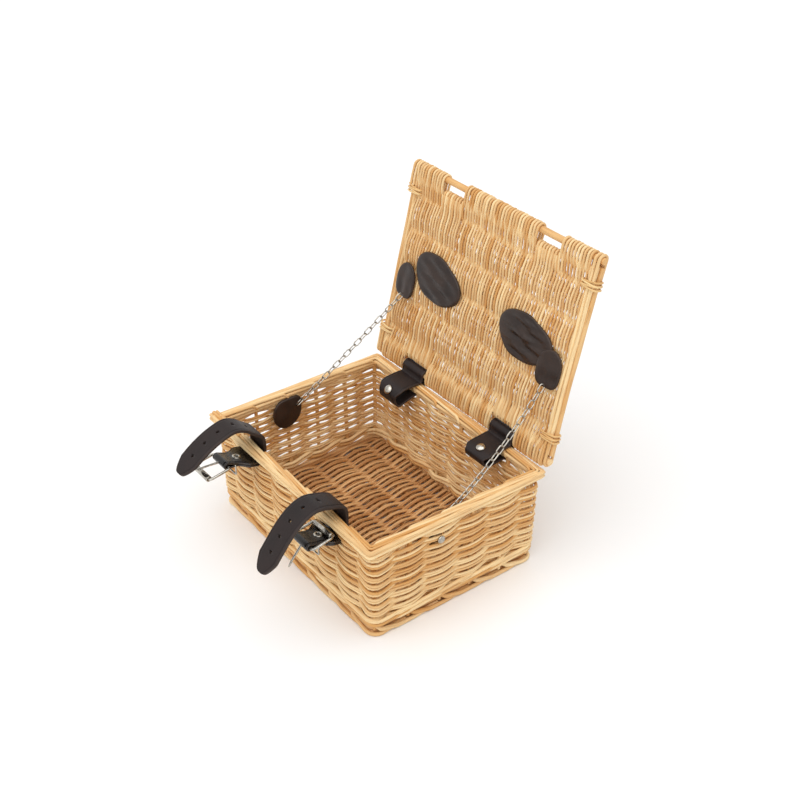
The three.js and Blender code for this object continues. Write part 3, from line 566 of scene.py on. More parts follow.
def join_pieces(name: str, parts: list) -> Object:
    """Put several meshes of one body into one piece.

    Args:
        name: the piece's name.
        parts: the objects to join; they are removed.

    Returns:
        The joined object.
    """
    work = bmesh.new()
    for part in parts:
        work.from_mesh(part.data)
    mesh = bpy.data.meshes.new(name)
    work.to_mesh(mesh)
    work.free()
    mesh.materials.append(parts[0].data.materials[0])
    for part in parts:
        bpy.data.objects.remove(part)
    mesh.shade_smooth()
    return add_piece(name, mesh)


def settle(piece: Object, body: str, slot: Slot, *nodes: str) -> None:
    """Let a piece ride on its body in place of CAD nodes."""
    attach(piece, body)
    name_parts(piece, slot, *nodes)


def name_parts(piece: Object, slot: Slot, *nodes: str) -> None:
    """Hide the CAD nodes that a piece stands for, and log them with its face count.

    Args:
        piece: the piece.
        slot: the record's slot of its finish; not used.
        *nodes: the CAD nodes that it stands for.
    """
    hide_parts(*nodes)
    LOG.info("%s: %d faces, for %s", piece.name, len(piece.data.polygons), ", ".join(nodes))


class NodeShaper:
    """A Geometry Nodes tree with named inputs, run once on a mesh to give a plain mesh."""

    title = "Shaper"
    sockets: tuple = ()
    guides: tuple = ()

    def __init__(self) -> None:
        """Build the tree."""
        self.tree = bpy.data.node_groups.new(self.title, "GeometryNodeTree")
        face = self.tree.interface
        face.new_socket("Geometry", in_out="INPUT", socket_type="NodeSocketGeometry")
        for name, kind in self.sockets:
            face.new_socket(name, in_out="INPUT", socket_type="NodeSocket" + kind)
        face.new_socket("Geometry", in_out="OUTPUT", socket_type="NodeSocketGeometry")
        given = add_node(self.tree, "NodeGroupInput").node.outputs
        whole = add_node(self.tree, "GeometryNodeRealizeInstances", {"Geometry": self.shape(given)})
        soft = add_node(self.tree, "GeometryNodeSetShadeSmooth", {"Geometry": whole})
        dressed = add_node(
            self.tree, "GeometryNodeSetMaterial", {"Geometry": soft, "Material": given["Material"]}
        )
        add_node(self.tree, "NodeGroupOutput", {"Geometry": dressed})

    def shape(self, given: NodeOutputs) -> NodeSocket:
        """Build the tree's own nodes from the group's inputs and hand on what they shape."""
        raise NotImplementedError

    def field(self, name: str, kind: str) -> NodeSocket:
        """Read one of the guide's attributes, by its name and data type."""
        inputs = {"Name": name}
        return add_node(self.tree, "GeometryNodeInputNamedAttribute", inputs, "Attribute", data_type=kind)

    def run(self, name: str, mesh: Mesh, **values: object) -> Object:
        """Shape a mesh and keep the result as a plain piece.

        Args:
            name: the new piece's name.
            mesh: the guide mesh.
            **values: the tree's inputs, with _ for a space in their names.

        Returns:
            The new piece.
        """
        carrier = add_piece(name + "_guide", mesh)
        modifier = carrier.modifiers.new(self.title, "NODES")
        modifier.node_group = self.tree
        for item in self.tree.interface.items_tree:
            key = item.name.lower().replace(" ", "_")
            if item.in_out == "INPUT" and key in values:
                modifier[item.identifier] = values[key]
        graph = bpy.context.evaluated_depsgraph_get()
        shaped = bpy.data.meshes.new_from_object(carrier.evaluated_get(graph), depsgraph=graph)
        carrier.modifiers.remove(modifier)
        bpy.data.objects.remove(carrier)
        for guide in self.guides:
            if guide in shaped.attributes:
                shaped.attributes.remove(shaped.attributes[guide])
        shaped.name = name
        return add_piece(name, shaped)


@dataclass
class RodLine:
    """The centre line of a rod, and how it repeats."""

    points: Array
    radius: float | Array  # one value or one for each point
    copies: int = 1
    step: Array = field(default_factory=lambda: np.zeros(3))  # from one copy to the next
    closed: bool = False


class RodSweep(NodeShaper):
    """Sweeps centre lines into round rods or wires, each with its own tone and unevenness."""

    title = "Swept rods"
    sockets = (
        ("Sides", "Int"), ("Unevenness", "Float"), ("Bends per metre", "Float"),
        ("Thickness spread", "Float"), ("Seed", "Int"), ("Material", "Material"),
    )
    guides = ("copies", "step", "thick")
    swells_per_metre = 9.0
    rods_differ = 40.0
    noise_reach = 4.0

    def shape(self, given: NodeOutputs) -> NodeSocket:
        """Copy each line, shift and bend the copies, and sweep a circle along them.

        Args:
            given: the group's inputs.

        Returns:
            The socket with the rods.
        """
        tree = self.tree
        curve = add_node(tree, "GeometryNodeMeshToCurve", {"Mesh": given["Geometry"]})
        copied = add_node(
            tree, "GeometryNodeDuplicateElements",
            {"Geometry": curve, "Amount": self.field("copies", "INT")}, domain="SPLINE",
        ).node.outputs
        rod = add_node(tree, "GeometryNodeCurveOfPoint", out="Curve Index")
        chance = add_node(
            tree, "FunctionNodeRandomValue", {2: 0.0, 3: 1.0, 7: rod, 8: given["Seed"]}, 1, data_type="FLOAT"
        )
        own = add_node(tree, "ShaderNodeMath", {0: chance, 1: self.rods_differ}, operation="MULTIPLY")
        shift = add_node(
            tree, "ShaderNodeVectorMath",
            {0: self.field("step", "FLOAT_VECTOR"), 3: copied["Duplicate Index"]}, operation="SCALE",
        )
        place = add_node(tree, "GeometryNodeInputPosition")
        wander = add_node(
            tree, "ShaderNodeTexNoise",
            {"Vector": place, "W": own, "Scale": given["Bends per metre"], "Detail": 1.0}, "Color",
            noise_dimensions="4D",
        )
        centred = add_node(tree, "ShaderNodeVectorMath", {0: wander, 1: (0.5,) * 3}, operation="SUBTRACT")
        stray, spread = (
            add_node(tree, "ShaderNodeMath", {0: given[name], 1: self.noise_reach}, operation="MULTIPLY")
            for name in ("Unevenness", "Thickness spread")
        )
        bend = add_node(tree, "ShaderNodeVectorMath", {0: centred, 3: stray}, operation="SCALE")
        offset = add_node(tree, "ShaderNodeVectorMath", {0: shift, 1: bend}, operation="ADD")
        line = add_node(tree, "GeometryNodeSetPosition", {"Geometry": copied["Geometry"], "Offset": offset})
        swell = add_node(
            tree, "ShaderNodeTexNoise",
            {"Vector": place, "W": own, "Scale": self.swells_per_metre, "Detail": 0.0}, noise_dimensions="4D",
        )
        uneven = add_node(tree, "ShaderNodeMath", {0: swell, 1: 0.5}, operation="SUBTRACT")
        share = add_node(tree, "ShaderNodeMath", {0: uneven, 1: spread, 2: 1.0}, operation="MULTIPLY_ADD")
        radius = add_node(
            tree, "ShaderNodeMath", {0: self.field("thick", "FLOAT"), 1: share}, operation="MULTIPLY"
        )
        length = add_node(tree, "GeometryNodeSplineParameter", out="Length")
        for name, value in (("along", length), ("shade", chance)):
            line = add_node(
                tree, "GeometryNodeStoreNamedAttribute", {"Geometry": line, "Name": name, "Value": value},
                data_type="FLOAT",
            )
        circle = add_node(
            tree, "GeometryNodeCurvePrimitiveCircle", {"Resolution": given["Sides"], "Radius": 1.0}
        )
        round_it = add_node(tree, "GeometryNodeInputPosition")
        ring = add_node(
            tree, "GeometryNodeStoreNamedAttribute", {"Geometry": circle, "Name": "ring", "Value": round_it},
            data_type="FLOAT_VECTOR",
        )
        return add_node(
            tree, "GeometryNodeCurveToMesh",
            {"Curve": line, "Profile Curve": ring, "Scale": radius, "Fill Caps": True},
        )

    def rods(
        self, name: str, lines: list, finish: Finish, sides: int = 8, unevenness: float = 0.0,
        bend: float = 30.0, spread: float = 0.0, seed: int = 1,
    ) -> Object:
        """Sweep centre lines into one piece.

        Args:
            name: the piece's name.
            lines: the rods' centre lines.
            finish: their finish.
            sides: flat sides of a rod.
            unevenness: how far a rod strays from its line.
            bend: how long one stray bend is.
            spread: the share by which a rod's thickness varies.
            seed: the random start.

        Returns:
            The new piece.
        """
        edges = []
        start = 0
        for line in lines:
            count = len(line.points)
            edges += [(start + at, start + at + 1) for at in range(count - 1)]
            if line.closed:
                edges.append((start + count - 1, start))
            start += count
        mesh = bpy.data.meshes.new(name + "_lines")
        mesh.from_pydata((np.concatenate([line.points for line in lines]) * MM).tolist(), edges, [])
        steps = np.concatenate([np.broadcast_to(line.step, line.points.shape) for line in lines])
        radii = np.concatenate([np.broadcast_to(line.radius, len(line.points)) for line in lines])
        copies = np.concatenate([np.full(len(line.points), line.copies) for line in lines])
        put_attribute(mesh, "step", "FLOAT_VECTOR", steps * MM)
        put_attribute(mesh, "thick", "FLOAT", radii * MM)
        put_attribute(mesh, "copies", "INT", copies)
        return self.run(
            name, mesh, sides=sides, unevenness=unevenness * MM, bends_per_metre=1 / (bend * MM),
            thickness_spread=spread, seed=seed, material=finish.material(),
        )


class HolePunch(NodeShaper):
    """Punches a row of round holes through a flat strap."""

    title = "Punched holes"
    sockets = (
        ("Holes", "Int"), ("First", "Float"), ("Spacing", "Float"), ("Radius", "Float"),
        ("Depth", "Float"), ("Material", "Material"),
    )

    def shape(self, given: NodeOutputs) -> NodeSocket:
        """Set a punch at each hole and cut them out together.

        Args:
            given: the group's inputs.

        Returns:
            The socket with the punched strap.
        """
        tree = self.tree
        first, spacing = (
            add_node(tree, "ShaderNodeCombineXYZ", {"X": given[name]}) for name in ("First", "Spacing")
        )
        row = add_node(
            tree, "GeometryNodeMeshLine",
            {"Count": given["Holes"], "Start Location": first, "Offset": spacing},
        )
        punch = add_node(
            tree, "GeometryNodeMeshCylinder",
            {"Vertices": 20, "Radius": given["Radius"], "Depth": given["Depth"]},
        )
        punches = add_node(tree, "GeometryNodeInstanceOnPoints", {"Points": row, "Instance": punch})
        tools = add_node(tree, "GeometryNodeRealizeInstances", {"Geometry": punches})
        return add_node(
            tree, "GeometryNodeMeshBoolean", {"Mesh 1": given["Geometry"], "Mesh 2": tools},
            operation="DIFFERENCE", solver="EXACT",
        )


class ChainLinks(NodeShaper):
    """Sets oval wire links along a line, each turned a quarter on the last."""

    title = "Chain links"
    sockets = (
        ("Link length", "Float"), ("Link width", "Float"), ("Wire", "Float"), ("Material", "Material"),
    )
    first_roll = 0.35

    def shape(self, given: NodeOutputs) -> NodeSocket:
        """Bend one oval link and set it on every point of the line.

        Args:
            given: the group's inputs.

        Returns:
            The socket with the links.
        """
        tree = self.tree
        line = add_node(tree, "GeometryNodeMeshToCurve", {"Mesh": given["Geometry"]})
        long, wide = (
            add_node(tree, "ShaderNodeMath", {0: given[name], 1: given["Wire"]}, operation="SUBTRACT")
            for name in ("Link length", "Link width")
        )
        # Just under half, so that the rounded corners at each end don't run into each other.
        half = add_node(tree, "ShaderNodeMath", {0: wide, 1: 0.499}, operation="MULTIPLY")
        box = add_node(tree, "GeometryNodeCurvePrimitiveQuadrilateral", {"Width": long, "Height": wide})
        oval = add_node(
            tree, "GeometryNodeFilletCurve", {"Curve": box, "Radius": half, "Count": 5}, mode="POLY"
        )
        thin = add_node(tree, "ShaderNodeMath", {0: given["Wire"], 1: 0.5}, operation="MULTIPLY")
        wire = add_node(tree, "GeometryNodeCurvePrimitiveCircle", {"Resolution": 8, "Radius": thin})
        link = add_node(tree, "GeometryNodeCurveToMesh", {"Curve": oval, "Profile Curve": wire})
        tangent = add_node(tree, "GeometryNodeInputTangent")
        aimed = add_node(tree, "FunctionNodeAlignRotationToVector", {"Vector": tangent}, axis="X")
        number = add_node(tree, "GeometryNodeInputIndex")
        quarter = add_node(
            tree, "ShaderNodeMath", {0: number, 1: math.pi / 2, 2: self.first_roll}, operation="MULTIPLY_ADD"
        )
        roll = add_node(
            tree, "FunctionNodeAxisAngleToRotation", {"Axis": (1.0, 0.0, 0.0), "Angle": quarter}
        )
        turned = add_node(
            tree, "FunctionNodeRotateRotation", {"Rotation": aimed, "Rotate By": roll}, rotation_space="LOCAL"
        )
        return add_node(
            tree, "GeometryNodeInstanceOnPoints", {"Points": line, "Instance": link, "Rotation": turned}
        )


class DomeRivets(NodeShaper):
    """Sets one rivet head on every point of a mesh, facing along the point's own direction."""

    title = "Dome rivets"
    sockets = (("Head", "Object"), ("Material", "Material"))
    guides = ("facing",)
    rim = 0.25
    sunk = 0.6

    def shape(self, given: NodeOutputs) -> NodeSocket:
        """Set the head on each point.

        Args:
            given: the group's inputs.

        Returns:
            The socket with the rivets.
        """
        tree = self.tree
        head = add_node(tree, "GeometryNodeObjectInfo", {"Object": given["Head"]}, "Geometry")
        facing = self.field("facing", "FLOAT_VECTOR")
        aimed = add_node(tree, "FunctionNodeAlignRotationToVector", {"Vector": facing}, axis="Z")
        return add_node(
            tree, "GeometryNodeInstanceOnPoints",
            {"Points": given["Geometry"], "Instance": head, "Rotation": aimed},
        )

    def rivets(self, name: str, radius: float, height: float, seats: list) -> Object:
        """Make a group of equal rivets.

        Args:
            name: the piece's name.
            radius: the head's radius.
            height: the dome's height.
            seats: place and outward direction of each head.

        Returns:
            The new piece.
        """
        dome = [math.radians(angle) for angle in range(0, 90, 10)]
        profile = [(0.0, -self.sunk), (radius - 0.3, -self.sunk), (radius, self.rim - self.sunk)]
        profile += [(radius * math.cos(a), self.rim + (height - self.rim) * math.sin(a)) for a in dome]
        profile.append((0.0, height))
        head = lathe(name + "_head", profile, 28, NICKEL)
        mesh = bpy.data.meshes.new(name + "_seats")
        mesh.from_pydata([tuple(np.asarray(place) * MM) for place, _ in seats], [], [])
        put_attribute(mesh, "facing", "FLOAT_VECTOR", np.array([way for _, way in seats]))
        piece = self.run(name, mesh, head=head, material=NICKEL.material())
        bpy.data.objects.remove(head)
        return piece


@dataclass
class StakeRing:
    """A rounded rectangle that the stakes stand on, counted in stakes from the front left corner."""

    half_x: float
    half_y: float
    radius: float
    long_spans: int = 7  # between stakes on the front and back
    short_spans: int = 5  # between stakes on the sides
    span_steps: int = 9
    corner_steps: int = 14

    @property
    def stakes(self) -> int:
        """How many stakes stand on the ring."""
        return 2 * (self.long_spans + self.short_spans)

    @property
    def around(self) -> Array:
        """Stake numbers for a walk round the ring, with more steps next to the corners."""
        corners = np.cumsum([0, self.long_spans, self.short_spans, self.long_spans])
        steps = np.full(self.stakes, self.span_steps)
        steps[corners] = steps[corners - 1] = self.corner_steps
        return np.concatenate([span + np.arange(count) / count for span, count in enumerate(steps)])

    def at(self, where: Array) -> tuple[Array, Array]:
        """Find places on the ring.

        Args:
            where: stake numbers, with fractions between stakes.

        Returns:
            The places at z = 0, and the outward direction at each.
        """
        ways = [(1, 0), (0, 1), (-1, 0), (0, -1)]
        spans = [self.long_spans, self.short_spans] * 2
        places = np.zeros((len(where), 3))
        outs = np.zeros((len(where), 3))
        for at, value in enumerate(np.mod(where, self.stakes)):
            side = 0
            while value >= spans[side]:
                value -= spans[side]
                side += 1
            along = np.array(ways[side], float)
            out = np.array([along[1], -along[0]])
            reach, away = (self.half_x, self.half_y) if side % 2 == 0 else (self.half_y, self.half_x)
            bend = self.radius * math.pi / 4
            straight = 2 * (reach - self.radius)
            run = value / spans[side] * (straight + 2 * bend) - bend
            turn = 0.0
            if run < 0:
                turn = run / self.radius
            elif run > straight:
                turn = (run - straight) / self.radius
            run = min(max(run, 0.0), straight) - straight / 2
            facing = out * math.cos(turn) + along * math.sin(turn)
            places[at, :2] = along * run + out * (away - self.radius) + facing * self.radius
            outs[at, :2] = facing
        return places, outs

    def wider(self, aside: float) -> "StakeRing":
        """A ring that lies outside this one, its corners as sharp."""
        return StakeRing(self.half_x + aside, self.half_y + aside, self.radius)

    def hoop(self, aside: float, z: float, radius: float) -> RodLine:
        """Lay a closed rod beside the ring.

        Args:
            aside: how far outside the ring it lies.
            z: its height.
            radius: its radius.

        Returns:
            The rod's centre line.
        """
        points = self.wider(aside).at(self.around)[0]
        points[:, 2] = z
        return RodLine(points, radius, closed=True)


@dataclass
class BasketBody:
    """The woven basket: base, foot, stakes, walls and border."""

    row_pitch: float = 3.8
    row_radius: float = 1.22
    row_rods: int = 2
    row_close: float = 2.05  # distance between the rods of a row, in radii
    row_low: float = 22.0
    rows: int = 18
    sway: float = 3.2
    corner_bulge: float = 0.35
    corner_tuck: float = 0.6
    stake_radius: float = 1.9
    stake_ends: tuple = (5.0, 94.0)
    corner_radius: float = 6.5
    wall_inset: tuple = (5.5, 7.2)  # inside the border, at the sides and the front
    wall_lean: float = 2.2
    wale_levels: tuple = (13.2, 17.0)
    wale_radius: float = 1.8
    wale_climb: float = 1.7
    wale_out: float = 2.5  # spans for which an upsett rod stays outside
    foot_radius: float = 2.1
    foot_spans: tuple = (0.02, 1.95)  # where a rod starts, and the spans that it covers
    foot_aside: tuple = (-3.5, 3.7, 2.8)  # start, way out, way back in
    foot_height: tuple = (9.8, 2.2, 5.4)  # start, first dip, fall to the floor
    border_radius: float = 1.27
    border_spans: float = 3.7
    border_drift: float = 4.2
    border_drop: float = 2.2
    border_corner: float = 1.5
    border_core: tuple = (  # outside the border's middle, height, radius
        (-3.4, 95.0, 1.7), (0.0, 94.8, 1.8), (3.9, 97.0, 1.8), (3.9, 93.2, 1.7), (1.4, 91.2, 1.8),
        (-1.8, 91.4, 1.8),
    )
    cut_ends: tuple = (  # outside the border's middle, below the top
        (-2.9, 0.4), (0.6, 0.0), (3.4, 1.6), (3.6, 5.0), (0.4, 4.0), (-2.8, 4.4),
    )
    cut_reach: tuple = (3.6, 45.0)  # past the corner, along the front
    strands: int = 66
    strand_radius: float = 1.05
    strand_sway: float = 3.3
    strand_end: float = 5.0
    pair_close: float = 0.93  # half the distance between a pair's strands, in radii
    sticks: int = 5
    first_stick: float = -76.0
    stick_gap: float = 32.3
    stick_radius: float = 1.9
    stick_end: float = 4.0
    edge_out: float = 2.6
    edge_rods: tuple = ((0.0, 4.35), (2.4, 2.6), (2.4, 6.6))  # outside the base, height

    def build(self, sweep: RodSweep) -> None:
        """Build and dress the basket's willow pieces.

        Args:
            sweep: the tree that sweeps rods.
        """
        posts = each("corner_post_front") + each("corner_post_back")
        weave = sweep.rods(
            "wall_weave", self.stake_lines() + self.wale_lines() + self.row_lines(), BUFF_WILLOW,
            sides=7, unevenness=0.5, bend=26.0, spread=0.16, seed=3,
        )
        settle(weave, "basket", Slot.WALL, *each("wall", SIDES), *posts)
        foot = sweep.rods(
            "foot_rods", self.foot_lines(), BUFF_WILLOW,
            sides=10, unevenness=0.2, bend=40.0, spread=0.06, seed=5,
        )
        settle(foot, "basket", Slot.ROD, *each("foot_rod", SIDES))
        border = sweep.rods(
            "border_rods", self.border_lines(), BUFF_WILLOW,
            sides=9, unevenness=0.25, bend=40.0, spread=0.1, seed=8,
        )
        settle(border, "basket", Slot.ROD, *each("border", SIDES))
        # The base's darker willow is partly painted shade.
        base = sweep.rods(
            "base_weave", self.base_lines(), BASE_WILLOW_DEEPER_AND_SHADED,
            sides=7, unevenness=0.45, bend=24.0, spread=0.16, seed=11,
        )
        settle(base, "basket", Slot.BASE, "base_panel")

    @property
    def lean(self) -> float:
        """How far the walls lean out for each millimetre of height."""
        low, high = node_box("wall_right")
        return self.wall_lean / (high[2] - low[2])

    def wall_ring(self, z: float) -> StakeRing:
        """Give the ring of the wall's middle at a height.

        Args:
            z: the height.

        Returns:
            The ring.
        """
        low, high = node_box("border_front")
        shrink = self.lean * (low[2] - z)
        half_x = high[0] - self.wall_inset[0] - shrink
        half_y = -low[1] - self.wall_inset[1] - shrink
        return StakeRing(half_x, half_y, self.corner_radius)

    def stake_lines(self) -> list[RodLine]:
        """Stand the stakes, one at each corner and the rest between.

        Returns:
            Their centre lines.
        """
        lines = []
        ring = self.wall_ring(0.0)
        heights = np.linspace(*self.stake_ends, 8)
        for place, out in zip(*ring.at(np.arange(ring.stakes, dtype=float))):
            points = place + np.outer(heights * self.lean, out)
            points[:, 2] = heights
            lines.append(RodLine(points, self.stake_radius))
        return lines

    def row_lines(self) -> list[RodLine]:
        """Weave the rows: each a band of rods, outside one stake, inside the next, looped at corners.

        Returns:
            The first two rows' centre lines, which repeat upwards.
        """
        lines = []
        for odd in (0, 1):
            for rod in range(self.row_rods):
                beside = self.row_close * self.row_radius * (rod - (self.row_rods - 1) / 2)
                z = self.row_low + odd * self.row_pitch + beside
                ring = self.wall_ring(z)
                where = ring.around
                places, outs = ring.at(where)
                turned = np.abs(outs[:, 0] * outs[:, 1]) * 2
                swing = np.cos(math.pi * (where + odd))
                swing *= 1 + turned * np.where(swing > 0, self.corner_bulge, -self.corner_tuck)
                points = places + outs * (self.sway * swing)[:, None]
                points[:, 2] = z
                step = outs * (self.lean * 2 * self.row_pitch)
                step[:, 2] = 2 * self.row_pitch
                lines.append(RodLine(points, self.row_radius, self.rows // 2, step, closed=True))
        return lines

    def wale_lines(self) -> list[RodLine]:
        """Lay the upsett: three rods that each pass outside two stakes, climbing, and inside the third.

        Returns:
            The rods' centre lines.
        """
        lines = []
        for z in self.wale_levels:
            ring = self.wall_ring(z)
            where = ring.around
            places, outs = ring.at(where)
            for lead in range(3):
                phase = np.mod(where - lead, 3.0)
                # A wave with its top cut flat, so that the rod stays outside longer than inside.
                swing = np.clip(1.7 * np.cos(2 * math.pi * (phase - 1.3) / 3) + 0.55, -1, 1)
                rise = 2 * phase / self.wale_out - 1
                climb = np.where(phase < self.wale_out, rise, 1 - 2 * ease(phase, self.wale_out, 3.0))
                points = places + outs * (self.sway * swing)[:, None]
                points[:, 2] = z + self.wale_climb * climb
                lines.append(RodLine(points, self.wale_radius, closed=True))
        return lines

    def foot_lines(self) -> list[RodLine]:
        """Lay the foot: each rod comes out under the upsett, lies along the edge and sinks beneath the next.

        Returns:
            The rods' centre lines.
        """
        wall = self.wall_ring(0.0)
        reach = self.sway + self.wale_radius - self.foot_radius
        middle = StakeRing(wall.half_x + reach, wall.half_y + reach, self.corner_radius + reach)
        share = np.linspace(0, 1, 26)
        start, out, back = self.foot_aside
        aside = start + out * ease(share, 0.0, 0.1) - back * ease(share, 0.55, 1.0)
        top, dip, fall = self.foot_height
        height = top - dip * ease(share, 0.0, 0.08) - fall * np.clip((share - 0.04) / 0.3, 0, 1)
        first, spans = self.foot_spans
        lines = []
        for stake in range(middle.stakes):
            places, outs = middle.at(stake + first + spans * share)
            points = places + outs * aside[:, None]
            points[:, 2] = np.maximum(height, self.foot_radius)
            lines.append(RodLine(points, self.foot_radius * (1 - 0.25 * share)))
        return lines

    def border_lines(self) -> list[RodLine]:
        """Lay the border: each stake bends over, runs on past the next ones and drifts to the outside.

        Returns:
            The centre lines of the border's rods, of those under it and of the cut ends.
        """
        low, high = node_box("border_front")
        half = (high[1] - low[1]) / 2
        middle = StakeRing(high[0] - half, -low[1] - half, self.border_corner)
        top = high[2] - self.border_radius
        share = np.linspace(0, 1, 50)
        drift = self.border_drift * (2 * share - 1)
        height = low[2] + (top - low[2]) * ease(share, -0.03, 0.05)
        height = height - self.border_drop * ease(share, 0.65, 1.0)
        lines = []
        for stake in range(middle.stakes):
            where = stake + self.border_spans * share
            points = np.array([middle.wider(out).at([at])[0][0] for at, out in zip(where, drift)])
            points[:, 2] = height
            lines.append(RodLine(points, self.border_radius * (1.1 - 0.16 * share)))
        lines += [middle.hoop(*rod) for rod in self.border_core]
        past, run = self.cut_reach
        x = np.linspace(-high[0] - past, -high[0] + run, 10)
        for aside, down in self.cut_ends:
            points = np.stack([x, np.full(10, -middle.half_y - aside), np.full(10, top - down)], axis=1)
            lines.append(RodLine(points, self.border_radius * 1.35))
        return lines

    def base_lines(self) -> list[RodLine]:
        """Weave the base: strands in pairs from front to back, over and under sticks from side to side.

        Returns:
            The centre lines of the edge rods, the sticks and the first strands, which repeat sideways.
        """
        low, high = node_box("base_panel")
        middle = self.strand_sway + self.strand_radius
        edge = StakeRing(high[0] + self.edge_out, high[1] + self.edge_out, self.corner_radius)
        lines = [edge.hoop(aside, z, self.stick_radius) for aside, z in self.edge_rods]
        x = np.linspace(low[0] - self.stick_end, high[0] + self.stick_end, 14)
        for stick in range(self.sticks):
            y = self.first_stick + stick * self.stick_gap
            points = np.stack([x, np.full(14, y), np.full(14, middle)], axis=1)
            lines.append(RodLine(points, self.stick_radius))
        pitch = (high[0] - low[0]) / self.strands
        y = np.linspace(low[1] - self.strand_end, high[1] + self.strand_end, 64)
        for odd, side in ((0, -1), (0, 1), (1, -1), (1, 1)):
            x = low[0] + (odd + 0.5) * pitch + side * self.pair_close * self.strand_radius
            phase = (y - self.first_stick) / self.stick_gap + odd
            z = middle + self.strand_sway * np.cos(math.pi * phase)
            points = np.stack([np.full(64, x), y, z], axis=1)
            step = np.array([2 * pitch, 0, 0])
            lines.append(RodLine(points, self.strand_radius, self.strands // 2, step))
        return lines


@dataclass
class Lid:
    """The woven lid, in its own frame: x across, v from its back rod to its front, w out of its top."""

    width: float = 255.0
    rods_apart: float = 188.5
    rod_radius: float = 3.2
    strands: int = 128
    strand_radius: float = 1.16
    wrap_radius: float = 1.36
    back_slack: float = 2.8  # how far wraps hang below the back rod
    sway: float = 2.9
    sticks: int = 4
    stick_gap: float = 33.6
    stick_radius: float = 1.5
    field_x: float = 118.2
    slots: tuple = (-65.0, 65.0)
    slot_half: float = 14.6
    slot_stick: float = 175.8  # where the short stick of a strap slot lies
    notch_half: float = 17.5
    notch_stick: float = 11.0  # the same at a hinge
    band: float = 26.0  # how far a wrap reaches back into the weave
    tail: float = 17.0
    past_rod: tuple = (7.0, 1.0)  # free ends past a main rod, past a short stick
    margin_x: tuple = (2.3, 6.1)  # past the woven field
    edge_rods: tuple = ((4.6, -1.6, 2.0), (2.2, 1.4, 2.1), (6.9, 1.6, 1.9), (8.2, -2.0, 1.7))
    edge_end: float = 5.7  # from the main rods' middles
    edge_bow: float = 1.2
    open_angle: float = 103.9
    tie_from_end: float = 22.5
    tie_leg: float = 17.0  # in from the lid's side
    tie_wraps: int = 4
    tie_pitch: float = 1.75
    tie_lean: float = 1.2
    tie_half: float = 5.3
    tie_radius: float = 0.95

    def place(self, x: Array, v: Array, w: Array) -> Array:
        """Turn lid coordinates into the hamper's frame at rest.

        Args:
            x: across.
            v: from the back rod forwards.
            w: out of the outer face.

        Returns:
            The places, one row each.
        """
        hinge = joint_place("lid_hinge")
        angle = math.radians(self.open_angle)
        x, v, w = np.broadcast_arrays(x, v, w)
        y = hinge[1] - math.cos(angle) * v + math.sin(angle) * w
        z = hinge[2] + math.sin(angle) * v + math.cos(angle) * w
        return np.stack([x, y, z], axis=-1).astype(float)

    def way(self, x: float, v: float, w: float) -> Array:
        """Turn a direction in the lid's frame into the hamper's."""
        return self.place(x, v, w) - self.place(0.0, 0.0, 0.0)

    def build(self, sweep: RodSweep) -> None:
        """Build and dress the lid's willow and cane pieces.

        Args:
            sweep: the tree that sweeps rods.
        """
        weave = sweep.rods(
            "lid_weave", self.stick_lines() + self.strand_lines() + self.margin_lines(), BUFF_WILLOW,
            sides=7, unevenness=0.45, bend=24.0, spread=0.16, seed=21,
        )
        settle(weave, "lid", Slot.WALL, "lid_panel")
        x = np.linspace(-self.width / 2, self.width / 2, 16)
        rods = sweep.rods(
            "lid_rods", [RodLine(self.place(x, v, 0.0), self.rod_radius) for v in (0.0, self.rods_apart)],
            BUFF_WILLOW, sides=14, unevenness=0.15, bend=60.0, spread=0.04, seed=23,
        )
        settle(rods, "lid", Slot.ROD, "lid_back_rod", "lid_front_rod")
        edges = sweep.rods(
            "lid_edge_rods", self.edge_lines(), BUFF_WILLOW,
            sides=10, unevenness=0.5, bend=60.0, spread=0.1, seed=25,
        )
        settle(edges, "lid", Slot.ROD, *each("lid_edge_rods"))
        ties = sweep.rods(
            "lid_ties", self.tie_lines(), CANE, sides=7, unevenness=0.2, bend=14.0, spread=0.15, seed=27
        )
        settle(ties, "lid", Slot.TIE, *each("lid_tie_back"), *each("lid_tie_front"))

    @property
    def first_stick(self) -> float:
        """The place of the stick next to the back rod, with the sticks midway between the rods."""
        return (self.rods_apart - self.stick_gap * (self.sticks - 1)) / 2

    @property
    def notches(self) -> list[float]:
        """Middles of the gaps that the hinge loops take at the back."""
        boxes = [node_box(loop) for loop in each("hinge_loop")]
        return [(low[0] + high[0]) / 2 for low, high in boxes]

    def bars(self, x: float) -> tuple[float, float]:
        """Say which bars a strand runs between: main rods, or the short stick at a hinge or strap gap.

        Args:
            x: where the strand is.

        Returns:
            The back and the front bar's places.
        """
        notched = any(abs(x - middle) < self.notch_half for middle in self.notches)
        slotted = any(abs(x - middle) < self.slot_half for middle in self.slots)
        return self.notch_stick if notched else 0.0, self.slot_stick if slotted else self.rods_apart

    def stick_lines(self) -> list[RodLine]:
        """Lay sticks across the lid, and the short ones that close the strap slots and hinge notches.

        Returns:
            Their centre lines.
        """
        x = np.linspace(-self.field_x - 5, self.field_x + 5, 16)
        rows = self.first_stick + self.stick_gap * np.arange(self.sticks)
        lines = [RodLine(self.place(x, v, 0.0), self.stick_radius) for v in rows]
        short = np.linspace(-self.slot_half - 3, self.slot_half + 3, 8)
        gaps = [(middle, self.slot_stick) for middle in self.slots]
        gaps += [(middle, self.notch_stick) for middle in self.notches]
        return lines + [RodLine(self.place(middle + short, v, 0.0), self.stick_radius) for middle, v in gaps]

